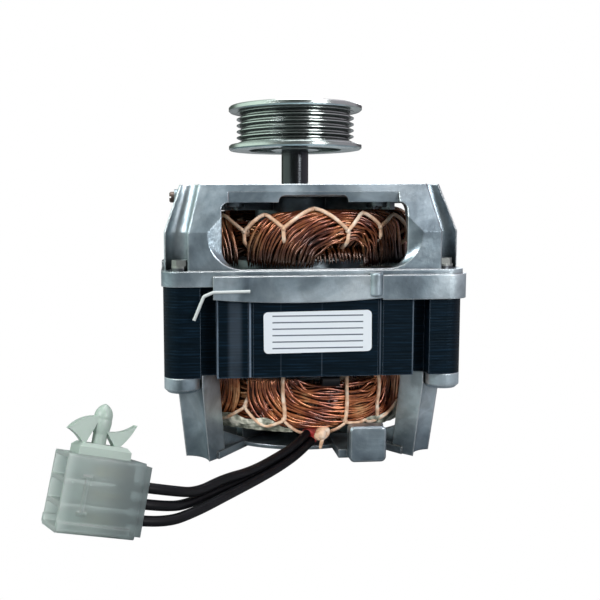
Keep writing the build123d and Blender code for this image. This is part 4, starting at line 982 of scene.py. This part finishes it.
# Bushes and felts: sintered bronze balls in seats of the shields, matt and brownish, that run on
# oil from the felt rings round them. The felt is dark with oil.
bush_bronze, bronze_shader = new_material("sintered bronze")
put(bush_bronze, bronze_shader, Base_Color=srgb("#9a7a4a"), Metallic=1.0, Roughness=0.5)
dress("upper_bush", bush_bronze)
dress("lower_bush", bush_bronze)

oil_felt, felt_shader = new_material("oiled wool felt")
put(oil_felt, felt_shader, Base_Color=srgb("#5b5448"), Roughness=0.9)
dress("upper_felt_ring", oil_felt)
dress("lower_felt_ring", oil_felt)

# Pulley: turned from an aluminium casting and pressed on the shaft. The lathe leaves fine rings
# round the shaft's axis that spread the shine up and down.
tool_mark = 0.12
pulley_patch_w = 25.0
pulley_gap_w = 8.0
pulley_greys = ((0.3, "#a7b2b0"), (0.7, "#cfd6d4"))

# The rings are a noise over radius and height alone. Its own size is four tool marks, and its
# finer layers come down to one.
pulley_metal, pulley_shader = new_material("turned aluminium")
pulley_place = add(pulley_metal, "TexCoord").outputs["Object"]
pulley_flat = add(pulley_metal, "Mapping", Vector=pulley_place, Scale=(1.0, 1.0, 0.0))
pulley_r = add(pulley_metal, "VectorMath", {"operation": "LENGTH"}, i0=pulley_flat).outputs["Value"]
pulley_z = add(pulley_metal, "SeparateXYZ", Vector=pulley_place).outputs["Z"]
pulley_at = add(pulley_metal, "CombineXYZ", X=pulley_r, Y=0.0, Z=pulley_z)
pulley_marks = add(pulley_metal, "TexNoise", Vector=pulley_at, Scale=1 / (4 * tool_mark * mm), Detail=2.0)
pulley_tint = add(pulley_metal, "TexNoise", Vector=pulley_place, Scale=1 / (pulley_patch_w * mm), Detail=3.0)
pulley_colour = add(pulley_metal, "ValToRGB", stops=pulley_greys, Fac=pulley_tint)
# Painted shade: the pulley's colour is darkened in its grooves and recesses.
pulley_gap = open_sky(pulley_metal, pulley_gap_w, 0.45)
pulley_colour = add(pulley_metal, "Mix", colour_times, i0=1.0, i6=pulley_colour, i7=pulley_gap).outputs[2]
pulley_bump = add(pulley_metal, "Bump", Height=pulley_marks, Strength=0.25, Distance=0.0003)
put(pulley_metal, pulley_shader, Base_Color=pulley_colour, Metallic=1.0, Roughness=0.22, Normal=pulley_bump)
dress("pulley", pulley_metal)

# Rating label: a white polyester film with a satin face, stuck on the core's front. It is left
# blank but for the thin grey ruled lines of an empty form.
label_middle_x = 0.6
label_middle_z = 46.4
ruling_pitch = 2.2
ruling_w = 0.46
ruling_gap = ruling_pitch - ruling_w
ruling_half_w = 15.5
ruling_half_h = 5.9

label_film, label_shader = new_material("white satin label film")
label_axes = add(label_film, "SeparateXYZ", Vector=add(label_film, "TexCoord").outputs["Object"]).outputs
label_x = add(label_film, "Math", minus, i0=label_axes["X"], i1=label_middle_x * mm)
label_z = add(label_film, "Math", minus, i0=label_axes["Z"], i1=label_middle_z * mm)
label_row = add(label_film, "Math", {"operation": "PINGPONG"}, i0=label_z, i1=ruling_pitch / 2 * mm)
ruled = add(label_film, "Math", is_larger, i0=label_row, i1=ruling_gap / 2 * mm)
for distance, half in ((label_x, ruling_half_w), (label_z, ruling_half_h)):
    off = add(label_film, "Math", bare_size, i0=distance)
    inside = add(label_film, "Math", {"operation": "LESS_THAN"}, i0=off, i1=half * mm)
    ruled = add(label_film, "Math", times, i0=ruled, i1=inside)
label_colour = add(label_film, "Mix", colour_mix, i0=ruled, i6=srgb("#e2e9f0"), i7=srgb("#5f6975"))
put(label_film, label_shader, Base_Color=label_colour.outputs[2], Roughness=0.42)
dress("rating_label", label_film)

# Tie tail: the cut and bent end of a natural nylon tie. Nylon is milky, and thin pieces of it
# glow a little from within.
natural_nylon, nylon_shader = new_material("natural nylon")
put(
    natural_nylon,
    nylon_shader,
    Base_Color=srgb("#c6cccc"),
    Roughness=0.4,
    Subsurface_Weight=0.2,
    Subsurface_Radius=(0.002, 0.002, 0.002),
)
dress("tie_tail", natural_nylon)

# Connector: a housing moulded from natural nylon, slightly clear, with a greenish cast in its
# thick parts. Stamped brass terminals sit inside, and a mounting clip stands on its top.
mouth_way = (-0.944, -0.33, 0.27)
clear_patch_w = 16.7
clear_edge_r = 0.8
clear_greens = ((0.3, "#a3b4b0"), (0.7, "#bccac6"))
clear_edge_highlight = srgb("#eef5f3")

# Along the way to the mouth, painted shade darkens the full end near the leads, and a painted glow of light
# through the nylon whitens the mouth's rim.
clear_zones = ((96.0, 110.0, 0.7, 0.0, "#5b6f74"), (114.0, 118.0, 0.0, 0.9, "#e4efeb"))

clear_nylon, clear_shader = new_material("moulded connector nylon")
clear_place = add(clear_nylon, "TexCoord").outputs["Object"]
clear_noise = add(clear_nylon, "TexNoise", Vector=clear_place, Scale=1 / (clear_patch_w * mm), Detail=3.0)
clear_colour = add(clear_nylon, "ValToRGB", stops=clear_greens, Fac=clear_noise)
# Painted highlights: the housing's edges are mixed towards a near-white.
clear_edge, clear_round = painted_edge_highlights(clear_nylon, clear_edge_r)
clear_edge = add(clear_nylon, "Math", times, i0=clear_edge, i1=0.95)
clear_colour = add(clear_nylon, "Mix", colour_mix, i0=clear_edge, i6=clear_colour, i7=clear_edge_highlight).outputs[2]
clear_along = add(clear_nylon, "VectorMath", dot, i0=clear_place, i1=mouth_way).outputs["Value"]
for start, stop, before, after, tone in clear_zones:
    zone = add(
        clear_nylon,
        "MapRange",
        smooth,
        Value=clear_along,
        i1=start * mm,
        i2=stop * mm,
        i3=before,
        i4=after,
    )
    clear_colour = add(clear_nylon, "Mix", colour_mix, i0=zone, i6=clear_colour, i7=srgb(tone)).outputs[2]
put(
    clear_nylon,
    clear_shader,
    Base_Color=clear_colour,
    Roughness=0.34,
    IOR=1.53,
    Transmission_Weight=0.7,
    Subsurface_Weight=0.3,
    Subsurface_Radius=(0.003, 0.004, 0.0035),
    Normal=clear_round,
)
dress("connector_housing", clear_nylon)

# The clip's thin wings and stem let less light through than the housing and look greener.
clip_nylon, clip_shader = new_material("moulded clip nylon")
put(
    clip_nylon,
    clip_shader,
    Base_Color=srgb("#b6c7be"),
    Roughness=0.38,
    IOR=1.53,
    Transmission_Weight=0.35,
    Subsurface_Weight=0.3,
    Subsurface_Radius=(0.003, 0.004, 0.003),
)
dress("connector_clip", clip_nylon)

# Stamped brass is a yellow metal with a broad soft shine.
terminal_brass, brass_shader = new_material("stamped brass")
put(terminal_brass, brass_shader, Base_Color=srgb("#b3945a"), Metallic=1.0, Roughness=0.35)
dress("connector_terminals", terminal_brass)
